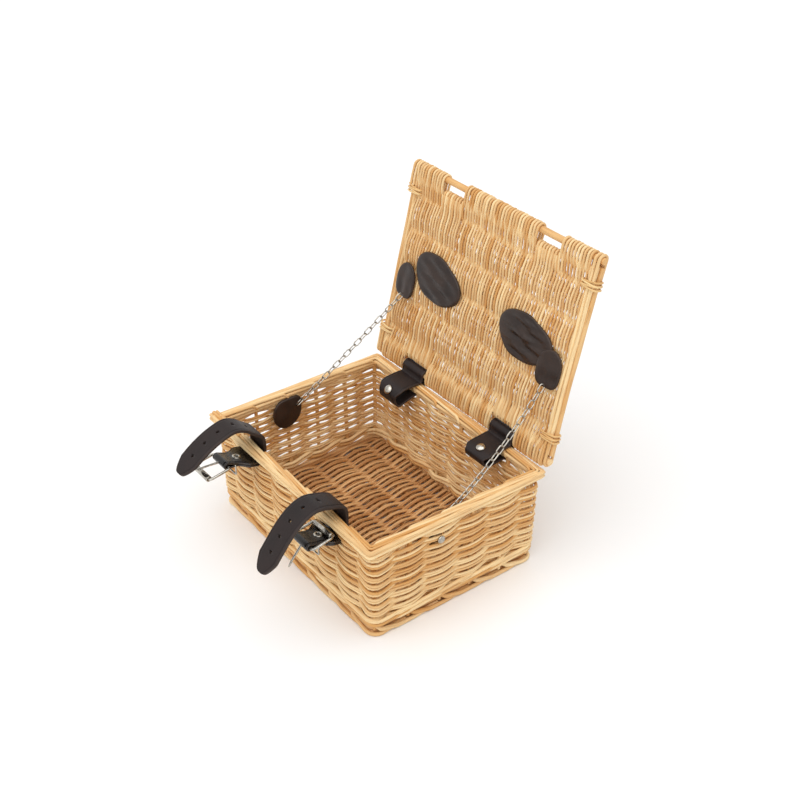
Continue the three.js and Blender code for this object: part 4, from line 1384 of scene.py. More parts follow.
    def strand_lines(self) -> list[RodLine]:
        """Weave from back to front: every other strand wraps the front bar, the rest wrap the back bar.

        Returns:
            One centre line for each run of strands between the same bars, which repeats sideways.
        """
        pitch = 2 * self.field_x / self.strands
        step = np.array([2 * pitch, 0.0, 0.0])
        lines = []
        for odd in (False, True):
            places = -self.field_x + pitch * (np.arange(odd, self.strands, 2) + 0.5)
            bars = [self.bars(x) for x in places]
            firsts = [at for at in range(len(bars)) if at == 0 or bars[at] != bars[at - 1]]
            for first, after in zip(firsts, [*firsts[1:], len(bars)]):
                v, w, radius = self.strand(*bars[first], odd)
                lines.append(RodLine(self.place(places[first], v, w), radius, after - first, step))
        return lines

    def strand(self, back: float, front: float, odd: bool) -> tuple[Array, Array, Array]:
        """Draw one strand: it weaves over the sticks and wraps one end bar from the inner face outwards.

        Args:
            back: where the back bar is.
            front: where the front bar is.
            odd: whether it wraps the back bar and weaves opposite to its neighbour.

        Returns:
            v, w and radius along the strand.
        """
        bar, ahead = (back, -1.0) if odd else (front, 1.0)
        short = bar in (self.slot_stick, self.notch_stick)
        thick = (self.stick_radius if short else self.rod_radius) + self.wrap_radius - 0.1
        hang = thick + (self.back_slack if bar == 0.0 else 0.0)
        free = front if odd else back
        free += ahead * self.past_rod[free not in (0.0, self.rods_apart)]
        v = np.linspace(free, bar, 58)
        near = ease(np.abs(v - bar), self.band, 6.0)
        weave = np.cos(math.pi * (v - self.first_stick) / self.stick_gap)
        w = -thick * near + (1 - near) * ahead * self.sway * weave
        turn = np.linspace(-math.pi / 2, math.pi / 2, 9)[1:]
        tail = np.linspace(0, self.tail, 6)[1:]
        v = np.concatenate([v, bar + ahead * hang * np.cos(turn), bar - ahead * tail])
        w = np.concatenate([w, thick * np.sin(turn), np.full(5, thick) - 0.06 * tail])
        close = ease(np.abs(v - bar), self.band, 12.0)
        return v, w, self.strand_radius + (self.wrap_radius - self.strand_radius) * close

    def margin_lines(self) -> list[RodLine]:
        """Wrap the ends of the main rods, past the woven field, down to the ties.

        Returns:
            The wraps' centre lines.
        """
        thick = self.rod_radius + self.wrap_radius
        turn = np.linspace(-math.pi / 2, math.pi / 2, 9)
        leg = np.linspace(self.tie_from_end - 4.0, 1.0, 7)
        w = thick * np.concatenate([np.full(7, -1.0), np.sin(turn), np.full(7, 1.0)])
        lines = []
        for hand in Hand:
            for bar, ahead in ((0.0, -1.0), (self.rods_apart, 1.0)):
                v = bar + ahead * np.concatenate([-leg, thick * np.cos(turn), -leg[::-1]])
                for reach in self.margin_x:
                    x = hand.value * (self.field_x + reach)
                    lines.append(RodLine(self.place(x, v, w), self.wrap_radius))
        return lines

    def edge_lines(self) -> list[RodLine]:
        """Lay bundles of rods along the lid's two sides.

        Returns:
            Their centre lines.
        """
        lines = []
        v = np.linspace(self.edge_end, self.rods_apart - self.edge_end, 18)
        bow = np.sin(math.pi * v / self.rods_apart)
        for hand in Hand:
            for aside, w, radius in self.edge_rods:
                x = hand.value * (self.width / 2 - aside - self.edge_bow * bow)
                lines.append(RodLine(self.place(x, v, w), radius))
        return lines

    def tie_lines(self) -> list[RodLine]:
        """Lash the edge rods to the weave with cane near the lid's corners.

        Returns:
            The centre lines of the wraps.
        """
        lines = []
        turn = np.linspace(0, 2 * math.pi, 28, endpoint=False)
        flat = np.sign(np.sin(turn)) * np.abs(np.sin(turn)) ** 0.45
        reach = self.tie_leg / 2 + 0.5
        for hand in Hand:
            x = hand.value * (self.width / 2 + 0.9 - reach + reach * np.cos(turn))
            for v in (self.tie_from_end, self.rods_apart - self.tie_from_end):
                for wrap in range(self.tie_wraps):
                    lean = self.tie_lean * np.cos(turn) * (1 if wrap % 2 else -0.4)
                    along = v + (wrap - (self.tie_wraps - 1) / 2) * self.tie_pitch + lean
                    line = self.place(x, along, self.tie_half * flat)
                    lines.append(RodLine(line, self.tie_radius, closed=True))
        return lines


class BentPath:
    """A smooth line in a plane that a strip of leather follows."""

    def __init__(self, points: list, across: Array, closed: bool = False) -> None:
        """Measure the line.

        Args:
            points: the places that the line passes.
            across: the direction of the strip's width.
            closed: whether the line returns to its start.
        """
        self.across = across
        self.line = smooth_line(points, 16, closed)
        if closed:
            self.line = np.vstack([self.line, self.line[:1]])
        gaps = np.linalg.norm(np.diff(self.line, axis=0), axis=1)
        self.run = np.concatenate([[0.0], np.cumsum(gaps)])
        ahead = np.gradient(self.line, self.run, axis=0)
        if closed:
            ahead[0] = ahead[-1] = (ahead[0] + ahead[-1]) / 2
        ahead /= np.linalg.norm(ahead, axis=1)[:, None]
        self.top = np.cross(ahead, across)

    @property
    def length(self) -> float:
        """The line's length."""
        return float(self.run[-1])

    def at(self, distance: Array, values: Array) -> Array:
        """Read one of the line's columns at distances along it."""
        return np.stack([np.interp(distance, self.run, column) for column in values.T], axis=1)

    def bend(self, flat: Array) -> Array:
        """Lay flat points, given as distance along, distance across and height, along the line."""
        base = self.at(flat[:, 0], self.line)
        return base + np.outer(flat[:, 1], self.across) + self.at(flat[:, 0], self.top) * flat[:, 2:]


@dataclass
class LeatherStrip:
    """A strip of leather with rounded edges and a line pressed along them."""

    path: BentPath
    half_width: Callable[[Array], Array]  # at distances along it
    thickness: float
    stations: int
    crease: float = 2.3
    closed: bool = False

    def flat(self) -> tuple[Array, list]:
        """Lay the strip out flat.

        Returns:
            The points as distance along, across and height, and the faces.
        """
        pressed = self.crease + np.array([-0.55, 0.0, 0.55, 1.6])
        edge_in = np.concatenate([[0.0, 0.3, 0.9], pressed])
        top_drop = np.array([0.6, 0.2, 0.03, 0.05, 0.42, 0.05, 0.0])
        low_drop = np.array([0.6, 0.2, 0.03, 0.0, 0.0, 0.0, 0.0])
        middle = np.zeros(3)
        top = self.thickness / 2 - np.concatenate([top_drop, middle, top_drop[::-1]])
        low = -self.thickness / 2 + np.concatenate([low_drop, middle, low_drop[::-1]])
        count = self.stations if self.closed else self.stations + 1
        along = np.arange(count) * self.path.length / self.stations
        rings = []
        for distance, reach in zip(along, self.half_width(along)):
            squeeze = min(1.0, reach / (self.crease + 3.5))
            left = -reach + edge_in * squeeze
            inner = np.linspace(left[-1], -left[-1], 5)[1:-1]
            across = np.concatenate([left, inner, -left[::-1]])
            over, under = (np.stack([np.full(17, distance), across, z], axis=1) for z in (top, low))
            rings.append(np.vstack([over, under[::-1]]))
        size = len(rings[0])
        faces = []
        for ring in range(count if self.closed else count - 1):
            here = ring * size
            there = (ring + 1) % count * size
            for at in range(size):
                after = (at + 1) % size
                faces.append((here + at, here + after, there + after, there + at))
        if not self.closed:
            for here in (0, (count - 1) * size):
                for at in range(size // 2 - 1):
                    faces.append((here + at, here + at + 1, here + size - 2 - at, here + size - 1 - at))
        return np.vstack(rings), faces

    def wear(self, flat: Array) -> Array:
        """Say how far each flat point is rubbed: 1 on an edge, 0 well inside."""
        inside = self.half_width(flat[:, 0]) - np.abs(flat[:, 1])
        return 1 - ease(inside, 0.2, 1.3)

    def make(
        self, name: str, finish: LeatherFinish, punch: HolePunch | None = None, **holes: object
    ) -> Object:
        """Cut, punch and bend the strip.

        Args:
            name: the piece's name.
            finish: its leather.
            punch: the tree that punches holes, if it has any.
            **holes: the punch's inputs.

        Returns:
            The new piece.
        """
        points, faces = self.flat()
        piece = closed_mesh(name + "_flat" if punch else name, points, faces, finish)
        if punch:
            guide = piece.data
            bpy.data.objects.remove(piece)
            piece = punch.run(name, guide, material=finish.material(), **holes)
        flat = mesh_points(piece.data)
        move_points(piece.data, self.path.bend(flat))
        put_attribute(piece.data, "edge", "FLOAT", self.wear(flat))
        return piece


@dataclass
class SoftPatch:
    """A patch of soft leather, crowned and wrinkled, flat underneath."""

    outline: Callable[[Array], Array]  # radius at angles round the middle
    thickness: float
    crown: float
    wrinkle: Callable[[Array, Array], Array]  # extra height
    spokes: int = 72
    rings: tuple = (  # shares of the radius
        0.08, 0.2, 0.32, 0.44, 0.56, 0.67, 0.77, 0.85, 0.91, 0.955, 0.985, 1.0,
    )

    def make(
        self, name: str, lay: Callable[[Array, Array, Array], Array]
    ) -> Object:
        """Build the patch and lay it in place.

        Args:
            name: the piece's name.
            lay: turns places on the patch and heights above its seat into the hamper's frame.

        Returns:
            The new piece.
        """
        angles = np.arange(self.spokes) * 2 * math.pi / self.spokes
        reach = self.outline(angles)
        a = np.concatenate([[0.0], np.outer(self.rings, reach * np.cos(angles)).ravel()])
        b = np.concatenate([[0.0], np.outer(self.rings, reach * np.sin(angles)).ravel()])
        share = np.concatenate([[0.0], np.repeat(self.rings, self.spokes)])
        rim = np.sqrt(np.clip(1 - ((share - 0.93) / 0.07).clip(0) ** 2, 0, 1))
        height = self.thickness * (0.35 + 0.65 * rim) + self.crown * (1 - share ** 2) ** 0.8
        height = height + self.wrinkle(a, b) * (1 - ease(share, 0.8, 1.0))
        points = np.vstack([lay(a, b, height), lay(a, b, np.zeros_like(a))])
        piece = closed_mesh(name, points, self.faces(len(a)), PATCH_LEATHER)
        put_attribute(piece.data, "edge", "FLOAT", ease(np.concatenate([share, share]), 0.95, 1.0))
        return piece

    def faces(self, under: int) -> list:
        """Join the points of the patch's top, underside and rim.

        Args:
            under: the number of the underside's first point.

        Returns:
            Point numbers of each face.
        """
        faces = []
        last = 1 + (len(self.rings) - 1) * self.spokes
        turns = [(at, (at + 1) % self.spokes) for at in range(self.spokes)]
        for base, flip in ((0, 1), (under, -1)):
            for at, after in turns:
                faces.append((base, base + 1 + at, base + 1 + after)[::flip])
            for ring in range(len(self.rings) - 1):
                here = base + 1 + ring * self.spokes
                there = here + self.spokes
                for at, after in turns:
                    faces.append((here + at, there + at, there + after, here + after)[::flip])
        for at, after in turns:
            faces.append((last + at, under + last + at, under + last + after, last + after))
        return faces


@dataclass
class Hinges:
    """Leather loops round the lid's back rod and the border, each closed by a dome rivet."""

    thickness: float = 2.0
    wrap: float = 5.1  # radius round the lid's rod
    off: float = 1.3  # how far the leather's middle lies off the border
    arch: dict = by_hand(1.0, 0.2)
    droop: dict = by_hand(5.5, 1.0)
    narrow: float = 3.0
    rivet: dict = by_hand((1.5, 4.2), (8.0, 2.1))  # behind the fold, below the upper ply
    head: tuple = (4.6, 2.1)  # radius, height

    def build(self, rivets: DomeRivets) -> None:
        """Build and dress the loops and their rivets.

        Args:
            rivets: the tree that sets rivet heads.
        """
        seats = [self.build_loop(hand) for hand in Hand]
        heads = rivets.rivets("hinge_rivet_heads", *self.head, seats)
        settle(heads, "basket", Slot.METAL, *each("hinge_rivet"))

    def build_loop(self, hand: Hand) -> tuple[Array, Array]:
        """Build and dress one loop.

        Args:
            hand: the side.

        Returns:
            The rivet's place on it and the outward direction there.
        """
        low, high = node_box(f"hinge_loop_{hand.word}")
        fold = low[1] + self.thickness / 2
        middle = (low[0] + high[0]) / 2
        path = BentPath([(middle, y, z) for y, z in self.path(hand, fold)], RIGHTWARD, closed=True)

        def half_width(distance: Array) -> Array:
            """Narrow the loop a little at its front fold."""
            y = path.at(distance, path.line)[:, 1]
            return (high[0] - low[0]) / 2 - self.narrow * (1 - ease(y, low[1], low[1] + 6.0))

        strip = LeatherStrip(path, half_width, self.thickness, 150, closed=True)
        loop = strip.make(f"hinge_leather_{hand.word}", STRAP_LEATHER)
        settle(loop, "basket", Slot.STRAP, f"hinge_loop_{hand.word}")
        back, down = self.rivet[hand]
        goal = np.array([middle, fold + back, node_box("border_back")[1][2] + self.off - down])
        at = int(np.argmin(np.linalg.norm(path.line - goal, axis=1)))
        return path.line[at] + path.top[at] * (self.thickness / 2 + 0.3), path.top[at]

    def path(self, hand: Hand, fold: float) -> list:
        """Draw the loop's middle: round the rod, over the border, folded inside and back under the border.

        Args:
            hand: the side.
            fold: how far inside the loop folds.

        Returns:
            The (y, z) places that it passes.
        """
        hinge = joint_place("lid_hinge")
        low, high = node_box("border_back")
        over = high[2] + self.off
        under = low[2] - self.off
        behind = high[1] + self.off
        arch = self.arch[hand]
        droop = self.droop[hand]
        turns = [math.radians(angle) for angle in (-75, -30, 15, 60, 105, 150, 200)]
        return [
            *[(hinge[1] + self.wrap * math.cos(a), hinge[2] + self.wrap * math.sin(a)) for a in turns],
            (low[1] + 7.3, over + 0.35), (low[1] + 3.7, over + 0.5 * arch),
            (low[1] - 2.0, over - 0.7 + arch), (fold + 7.0, over - 2.0 + arch),
            (fold + 2.6, over - 3.6), (fold, (over + under) / 2 - 0.4 * droop),
            (fold + 2.6, under - droop), (fold + 8.0, under - 0.7 * droop), (low[1], under),
            (high[1] - 1.7, under), (high[1] + 0.95, under + 1.5), (behind, under + 3.7),
            (behind, high[2] - 2.0),
        ]


@dataclass
class Straps:
    """Two leather straps that rise inside the front border and arch out over it to punched points."""

    x: float = 65.0
    width: float = 25.0
    thickness: float = 3.0
    point: float = 14.0
    tip: float = 5.0
    tail: float = 20.0
    root_y: float = -83.19
    top_z: float = 99.5
    holes: int = 5
    hole_radius: float = 1.6
    hole_step: float = 15.0
    hole_from_tip: float = 20.0
    bend_from: float = 1.0  # out of the root; the place is computed but not used
    bend_to: float = 16.0  # out of the root; the place is computed but not used
    arches: dict = by_hand(  # out of the root, above the border
        [(0, 6), (1.6, 10.6), (5.5, 13.6), (11.3, 18), (18, 23.2), (28, 26.5), (42.3, 23.1), (58.3, 15),
         (81.3, -2.5)],
        [(0, 6), (1.6, 10.6), (6, 13.5), (13, 16.3), (28.8, 19.9), (41.5, 15.5), (53.5, 5.4),
         (65.5, -9.2), (79.3, -27.5)],
    )

    def build(self, punch: HolePunch) -> None:
        """Build and dress both straps."""
        for hand in Hand:
            self.build_strap(hand, punch)

    def build_strap(self, hand: Hand, punch: HolePunch) -> None:
        """Build and dress one strap.

        Args:
            hand: the side.
            punch: the tree that punches holes.
        """
        x = hand.value * self.x
        places = [(0, -self.tail), (0, -self.tail / 2), *self.arches[hand]]
        path = BentPath([(x, self.root_y - out, self.top_z + up) for out, up in places], RIGHTWARD)

        def half_width(distance: Array) -> Array:
            """Draw the strap's pointed end."""
            share = np.clip((path.length - distance) / self.point, 0, 1)
            return (self.tip + (self.width - self.tip) * np.sqrt(share)) / 2

        strip = LeatherStrip(path, half_width, self.thickness, 190)
        last = path.length - self.hole_from_tip
        strap = strip.make(
            f"strap_leather_{hand.word}", STRAP_LEATHER, punch, holes=self.holes,
            first=(last - (self.holes - 1) * self.hole_step) * MM, spacing=self.hole_step * MM,
            radius=self.hole_radius * MM, depth=4 * self.thickness * MM,
        )
        start, end = (
            (x * MM, (self.root_y - out) * MM, self.top_z * MM) for out in (self.bend_from, self.bend_to)
        )
        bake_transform(strap)
        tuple(start)
        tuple(end)
        name_parts(strap, Slot.STRAP, f"strap_{hand.word}")


@dataclass
class BarFrame:
    """A frame on a buckle's bar: x along the bar, y towards the wall, z up, pitched about the bar."""

    origin: Array
    angle: float

    def place(self, points: Array) -> Array:
        """Turn places in the bar's frame into the hamper's frame.

        Args:
            points: the places, one row each.

        Returns:
            The turned places.
        """
        angle = math.radians(self.angle)
        points = np.atleast_2d(np.asarray(points, float))
        y = points[:, 1] * math.cos(angle) - points[:, 2] * math.sin(angle)
        z = points[:, 1] * math.sin(angle) + points[:, 2] * math.cos(angle)
        return np.stack([points[:, 0], y, z], axis=1) + self.origin

    def lay(self, piece: Object, shift: tuple, along_bar: bool = False) -> None:
        """Move a turned piece's mesh into the frame.

        Args:
            piece: the piece, made about the Z axis.
            shift: its place in the frame.
            along_bar: whether its axis lies along the bar.
        """
        points = mesh_points(piece.data)
        if along_bar:
            points = points[:, [2, 0, 1]]
        move_points(piece.data, self.place(points + np.array(shift)))


def wire_loop(half: float, reach: float, corner: float) -> Array:
    """Draw a rectangle of wire with round corners, from a bar outwards.

    Args:
        half: half of its width.
        reach: its depth from the bar.
        corner: the radius of its corners.

    Returns:
        The places round it.
    """
    points = []
    centres = [(half - corner, -reach + corner), (half - corner, -corner),
               (-half + corner, -corner), (-half + corner, -reach + corner)]
    for number, (x, y) in enumerate(centres):
        for step in range(6):
            angle = math.radians(90 * (number - 1) + 18 * step)
            points.append((x + corner * math.cos(angle), y + corner * math.sin(angle), 0.0))
    return np.array(points)


@dataclass
class Buckles:
    """Two roller buckles on leather tabs, with their prongs, wire keepers and eyelets."""

    tab_pitch: dict = by_hand(12.7, 5.5)  # degrees down; the next two are degrees up
    frame_angle: dict = by_hand(10.0, -170.0)
    prong_angle: dict = by_hand(-2.0, 52.0)
    tab_length: float = 36.0
    ply: float = 2.0
    ply_gap: float = 0.08
    wrap_gap: float = 0.4
    neck: float = 21.5
    flare: float = 33.0
    neck_end: float = 10.5
    flare_end: float = 21.7
    inner_width: float = 26.0
    reach: float = 21.0
    corner: float = 2.4
    wire: float = 1.3
    roller: float = 2.8
    roller_gap: float = 0.35
    roller_soft: float = 0.3
    prong: float = 1.1
    prong_length: float = 25.0
    prong_eye: tuple = (0.3, 1.3, 2.2, 0.3)  # gap round the bar, wall, half width, soft edge
    prong_bow: float = 0.9
    keeper_at: float = 7.5  # from the bar towards the wall
    keeper_drop: float = 9.5
    keeper_wire: float = 0.8
    keeper_gap: float = 0.4
    keeper_corner: float = 1.6
    eyelet_at: float = 15.0
    eyelet: float = 4.2
    eyelet_bore: float = 1.7
    eyelet_rise: float = 0.55

    def build(self, sweep: RodSweep) -> None:
        """Build and dress both buckles.

        Args:
            sweep: the tree that sweeps wires.
        """
        for hand in Hand:
            bar = joint_place(f"buckle_{hand.word}_swing")
            tab = BarFrame(bar, -self.tab_pitch[hand])
            swung = BarFrame(bar, self.frame_angle[hand])
            self.build_tab(hand, tab)
            self.build_eyelet(hand, tab)
            self.build_keeper(hand, tab, sweep)
            self.build_wire(hand, swung, sweep)
            self.build_roller(hand, swung)
            self.build_prong(hand, BarFrame(bar, self.prong_angle[hand]), sweep)

    def build_tab(self, hand: Hand, tab: BarFrame) -> None:
        """Fold a leather tab round the bar.

        Args:
            hand: the side.
            tab: the tab's frame.
        """
        half = self.ply / 2 + self.ply_gap
        wrap = self.wire + self.wrap_gap + self.ply / 2
        turns = [math.radians(angle) for angle in (60, 100, 140, 180, 220, 260, 300)]
        fold = [(0, wrap * math.cos(a), wrap * math.sin(a)) for a in turns]
        outs = (self.tab_length, 24, 14, 8.5)
        top = [(0, y, half) for y in outs]
        low = [(0, y, -half) for y in outs[::-1]]
        path = BentPath(list(tab.place(np.array([*top, *fold, *low], float))), RIGHTWARD)
        inward = tab.place((0.0, 1.0, 0.0))[0] - tab.origin

        def half_width(distance: Array) -> Array:
            """Widen the tab from its neck to the wall."""
            out = (path.at(distance, path.line) - tab.origin) @ inward
            return (self.neck + (self.flare - self.neck) * ease(out, self.neck_end, self.flare_end)) / 2

        strip = LeatherStrip(path, half_width, self.ply, 120, crease=2.0)
        piece = strip.make(f"tab_leather_{hand.word}", TAB_LEATHER)
        settle(piece, "basket", Slot.STRAP, f"buckle_tab_{hand.word}")

    def build_eyelet(self, hand: Hand, tab: BarFrame) -> None:
        """Set a rolled eyelet through the tab.

        Args:
            hand: the side.
            tab: the tab's frame.
        """
        face = self.ply + 0.2
        ring = (self.eyelet - self.eyelet_bore) / 2
        middle = self.eyelet_bore + ring
        rise = self.eyelet_rise * ring
        arc = [math.radians(angle) for angle in range(0, 181, 20)]
        profile = [
            (middle + side * ring * math.cos(a), side * (face + rise * math.sin(a)))
            for side in (1, -1) for a in arc
        ]
        piece = lathe(f"eyelet_ring_{hand.word}", profile, 32, NICKEL, closed=True)
        tab.lay(piece, (0.0, self.eyelet_at, 0.0))
        settle(piece, "basket", Slot.METAL, f"tab_eyelet_{hand.word}")

    def build_keeper(self, hand: Hand, tab: BarFrame, sweep: RodSweep) -> None:
        """Hang the wire keeper under the tab.

        Args:
            hand: the side.
            tab: the tab's frame.
            sweep: the tree that sweeps wires.
        """
        hung = BarFrame(tab.place((0.0, self.keeper_at, 0.0))[0], 90.0)
        half = self.neck / 2 + self.keeper_gap + self.keeper_wire
        loop = wire_loop(half, self.keeper_drop, self.keeper_corner)
        line = RodLine(hung.place(loop), self.keeper_wire, closed=True)
        piece = sweep.rods(f"keeper_wire_{hand.word}", [line], NICKEL, sides=12)
        settle(piece, f"keeper_{hand.word}", Slot.METAL, f"keeper_{hand.word}")

    def build_wire(self, hand: Hand, swung: BarFrame, sweep: RodSweep) -> None:
        """Bend the buckle's wire frame.

        Args:
            hand: the side.
            swung: the buckle's frame.
            sweep: the tree that sweeps wires.
        """
        loop = wire_loop(self.inner_width / 2 + self.wire, self.reach, self.corner)
        line = RodLine(swung.place(loop), self.wire, closed=True)
        piece = sweep.rods(f"buckle_wire_{hand.word}", [line], NICKEL, sides=16)
        settle(piece, f"buckle_{hand.word}", Slot.METAL, f"buckle_frame_{hand.word}")

    def build_roller(self, hand: Hand, swung: BarFrame) -> None:
        """Turn the hollow roller on the buckle's outer wire.

        Args:
            hand: the side.
            swung: the buckle's frame.
        """
        half = self.inner_width / 2 - 0.3
        bore = self.wire + self.roller_gap
        inner = self.roller - self.roller_soft
        flat = half - self.roller_soft
        profile = [
            (bore, -half), (inner, -half), (self.roller, -flat), (self.roller, 0.0), (self.roller, flat),
            (inner, half), (bore, half), (bore, 0.0),
        ]
        piece = lathe(f"roller_tube_{hand.word}", profile, 32, NICKEL, closed=True)
        swung.lay(piece, (0.0, -self.reach, 0.0), along_bar=True)
        settle(piece, f"roller_{hand.word}", Slot.METAL, f"roller_{hand.word}")

    def build_prong(self, hand: Hand, pin: BarFrame, sweep: RodSweep) -> None:
        """Bend the prong round the bar and taper it to its tip.

        Args:
            hand: the side.
            pin: the prong's frame.
            sweep: the tree that sweeps wires.
        """
        gap, wall, half, soft = self.prong_eye
        bore = self.wire + gap
        outer = bore + wall
        edge = half - 0.4
        profile = [
            (bore, -half), (outer - soft, -half), (outer, -edge), (outer, edge), (outer - soft, half),
            (bore, half),
        ]
        eye = lathe("prong_eye", profile, 24, NICKEL, closed=True)
        pin.lay(eye, (0.0, 0.0, 0.0), along_bar=True)
        share = np.linspace(0, 1, 14)
        root = bore + 0.6
        out = -root - (self.prong_length - root) * share
        bow = self.prong_bow * np.sin(math.pi * share) * share
        radius = self.prong * (1 - 0.2 * share)
        radius[-1] *= 0.55
        line = RodLine(pin.place(np.stack([np.zeros(14), out, bow], axis=1)), radius)
        shank = sweep.rods("prong_shank", [line], NICKEL, sides=14)
        piece = join_pieces(f"prong_wire_{hand.word}", [eye, shank])
        settle(piece, f"prong_{hand.word}", Slot.METAL, f"prong_{hand.word}")


@dataclass(frozen=True)
class PadShape:
    """An oval leather pad on the lid's inner face."""

    x: float
    v: float
    long: float
    wide: float
    tilt: float  # degrees down to the right
    crease: float


@dataclass
class ChainsAndPatches:
    """The two stay chains, the leather patches at their ends, their rivets and the lid's oval pads."""

    thickness: float = 2.0
    wall_patch: tuple = (34.0, 31.0)  # width, height
    wall_y: float = -20.6
    below_top: float = 22.0
    wall_slope: float = 0.045  # how far the inner face leans out for each millimetre up
    lid_patch: tuple = (28.0, 35.0)  # width, height
    lid_x: float = 102.5
    lid_v: float = 80.0
    lid_patch_lift: float = 1.6
    pad_fill: float = 0.3
    pads: dict = by_hand(
        PadShape(-60.3, 96.5, 68.0, 43.5, 13.0, 0.9), PadShape(65.0, 93.0, 70.0, 43.0, 5.0, 1.5)
    )
    crowns: tuple = (0.9, 0.8, 1.4)  # of a wall patch, a lid patch and a pad
    inner_face: float = 3.9
    outer_face: float = 3.9
    chain_stand_off: float = 6.7
    chain_start: tuple = (12.5, 3.1)  # from the wall patch's middle, off the wall
    side_rivet: tuple = (3.8, 2.3)  # radius, height
    link_pitch: float = 7.5
    link_width: float = 5.8
    chain_wire: float = 1.2
    chain_sag: dict = by_hand(1.5, 9.0)
    rivet_inset: float = 1.4

    def build(self, lid: Lid, links: ChainLinks, rivets: DomeRivets) -> None:
        """Build and dress the patches, pads, rivets and chains.

        Args:
            lid: the lid that carries one end.
            links: the tree that sets links.
            rivets: the tree that sets rivet heads.
        """
        side_seats = []
        lid_seats = []
        for hand in Hand:
            self.build_wall_patch(hand)
            self.build_lid_patch(hand, lid)
            self.build_pad(hand, lid)
            self.build_chain(hand, lid, links)
            centre = self.wall_place(hand, *np.zeros((3, 1)))[0]
            face = node_box("border_front")[1][0] - self.rivet_inset
            side_seats.append(((hand.value * face, centre[1], centre[2]), (hand.value, 0.0, 0.0)))
            top = lid.place(hand.value * self.lid_x, self.lid_v, self.outer_face)
            lid_seats.append((top, lid.way(0, 0, 1)))
        sides = rivets.rivets("side_rivet_heads", *self.side_rivet, side_seats)
        settle(sides, "basket", Slot.METAL, *each("side_rivet"))
        tops = rivets.rivets("lid_rivet_heads", *self.side_rivet, lid_seats)
        settle(tops, "lid", Slot.METAL, *each("lid_rivet"))

    def wall_place(self, hand: Hand, a: Array, b: Array, height: Array) -> Array:
        """Lay places on a side wall's inner face.

        Args:
            hand: the side.
            a: towards the back.
            b: upwards.
            height: out of the wall's inner face.

        Returns:
            The places, one row each.
        """
        low, high = node_box(f"wall_patch_{hand.word}")
        seat = (high[0] if hand is Hand.RIGHT else -low[0]) + 0.4
        top = node_box("border_front")[1][2] - self.below_top
        x = hand.value * (seat + self.wall_slope * b - height)
        return np.stack([x, self.wall_y + a, top + b], axis=1)

    def build_wall_patch(self, hand: Hand) -> None:
        """Make the patch at a chain's lower end: round, with a corner drawn towards the chain.

        Args:
            hand: the side.
        """
        radius = 0.5 * sum(self.wall_patch) / 2

        def outline(angle: Array) -> Array:
            """Draw a rounded patch with one corner."""
            pull = np.exp(-((np.mod(angle - 0.75 + math.pi, 2 * math.pi) - math.pi) / 0.42) ** 2)
            return radius * (1 + 0.03 * np.sin(3 * angle + 1.0)) * (0.97 + 0.28 * pull)

        def wrinkle(a: Array, b: Array) -> Array:
            """Lift a soft fold from the corner across the patch."""
            across = (b - a) / math.sqrt(2)
            return 0.55 * np.exp(-(across / 4.0) ** 2) - 0.25 * np.cos(0.35 * a + 0.2 * b)

        patch = SoftPatch(outline, self.thickness, self.crowns[0], wrinkle)
        piece = patch.make(f"wall_leather_{hand.word}", lambda a, b, h: self.wall_place(hand, a, b, h))
        settle(piece, "basket", Slot.PATCH, f"wall_patch_{hand.word}")

    def build_lid_patch(self, hand: Hand, lid: Lid) -> None:
        """Make the patch at a chain's upper end: an oval with a square tab where the chain leaves.

        Args:
            hand: the side.
            lid: the lid.
        """
        wide, tall = self.lid_patch

        def outline(angle: Array) -> Array:
            """Draw an oval that squares off at its lower end."""
            power = np.where(np.sin(angle) < 0, 3.2, 2.1)
            sides = (np.abs(np.cos(angle)) / (wide / 2), np.abs(np.sin(angle)) / (tall / 2))
            return (sides[0] ** power + sides[1] ** power) ** (-1 / power)

        def wrinkle(a: Array, b: Array) -> Array:
            """Crumple the leather where the chain pulls."""
            return 0.45 * np.sin(0.5 * a + 0.3) * np.exp(-((b + 8) / 9) ** 2) + 0.2 * np.cos(0.4 * b)

        def lay(a: Array, b: Array, h: Array) -> Array:
            """Lay the patch on the lid, with one edge over the pad beside it."""
            lift = self.lid_patch_lift * ease(-hand.value * a, -4.0, 9.0)
            return lid.place(hand.value * self.lid_x + a, self.lid_v + b, -self.inner_face - lift - h)

        patch = SoftPatch(outline, self.thickness, self.crowns[1], wrinkle)
        piece = patch.make(f"lid_leather_{hand.word}", lay)
        settle(piece, "lid", Slot.PATCH, f"lid_patch_{hand.word}")

    def build_pad(self, hand: Hand, lid: Lid) -> None:
        """Make an oval leather pad inside the lid, creased along its length.

        Args:
            hand: the side.
            lid: the lid.
        """
        shape = self.pads[hand]
        cos = math.cos(math.radians(shape.tilt))
        sin = math.sin(math.radians(shape.tilt))

        def outline(angle: Array) -> Array:
            """Draw an oval, a little uneven as cut by hand."""
            across = (np.cos(angle) / (shape.long / 2)) ** 2 + (np.sin(angle) / (shape.wide / 2)) ** 2
            return (1 + 0.02 * np.sin(5 * angle) + 0.035 * np.sin(3 * angle + 1)) / np.sqrt(across)

        def wrinkle(a: Array, b: Array) -> Array:
            """Lay creases along the pad."""
            folds = np.sin(0.5 * b + 0.09 * a + 0.6) + 0.5 * np.sin(0.95 * b - 0.11 * a)
            return shape.crease * folds * (0.6 + 0.4 * np.sin(0.08 * a + 1.0))

        def lay(a: Array, b: Array, h: Array) -> Array:
            """Tilt the pad on the lid's inner face."""
            x = shape.x + a * cos + b * sin
            return lid.place(x, shape.v - a * sin + b * cos, -self.inner_face - h)

        patch = SoftPatch(outline, self.thickness, self.crowns[2], wrinkle)
        piece = patch.make(f"pad_leather_{hand.word}", lay)
        settle(piece, "lid", Slot.PATCH, f"handle_pad_{hand.word}")

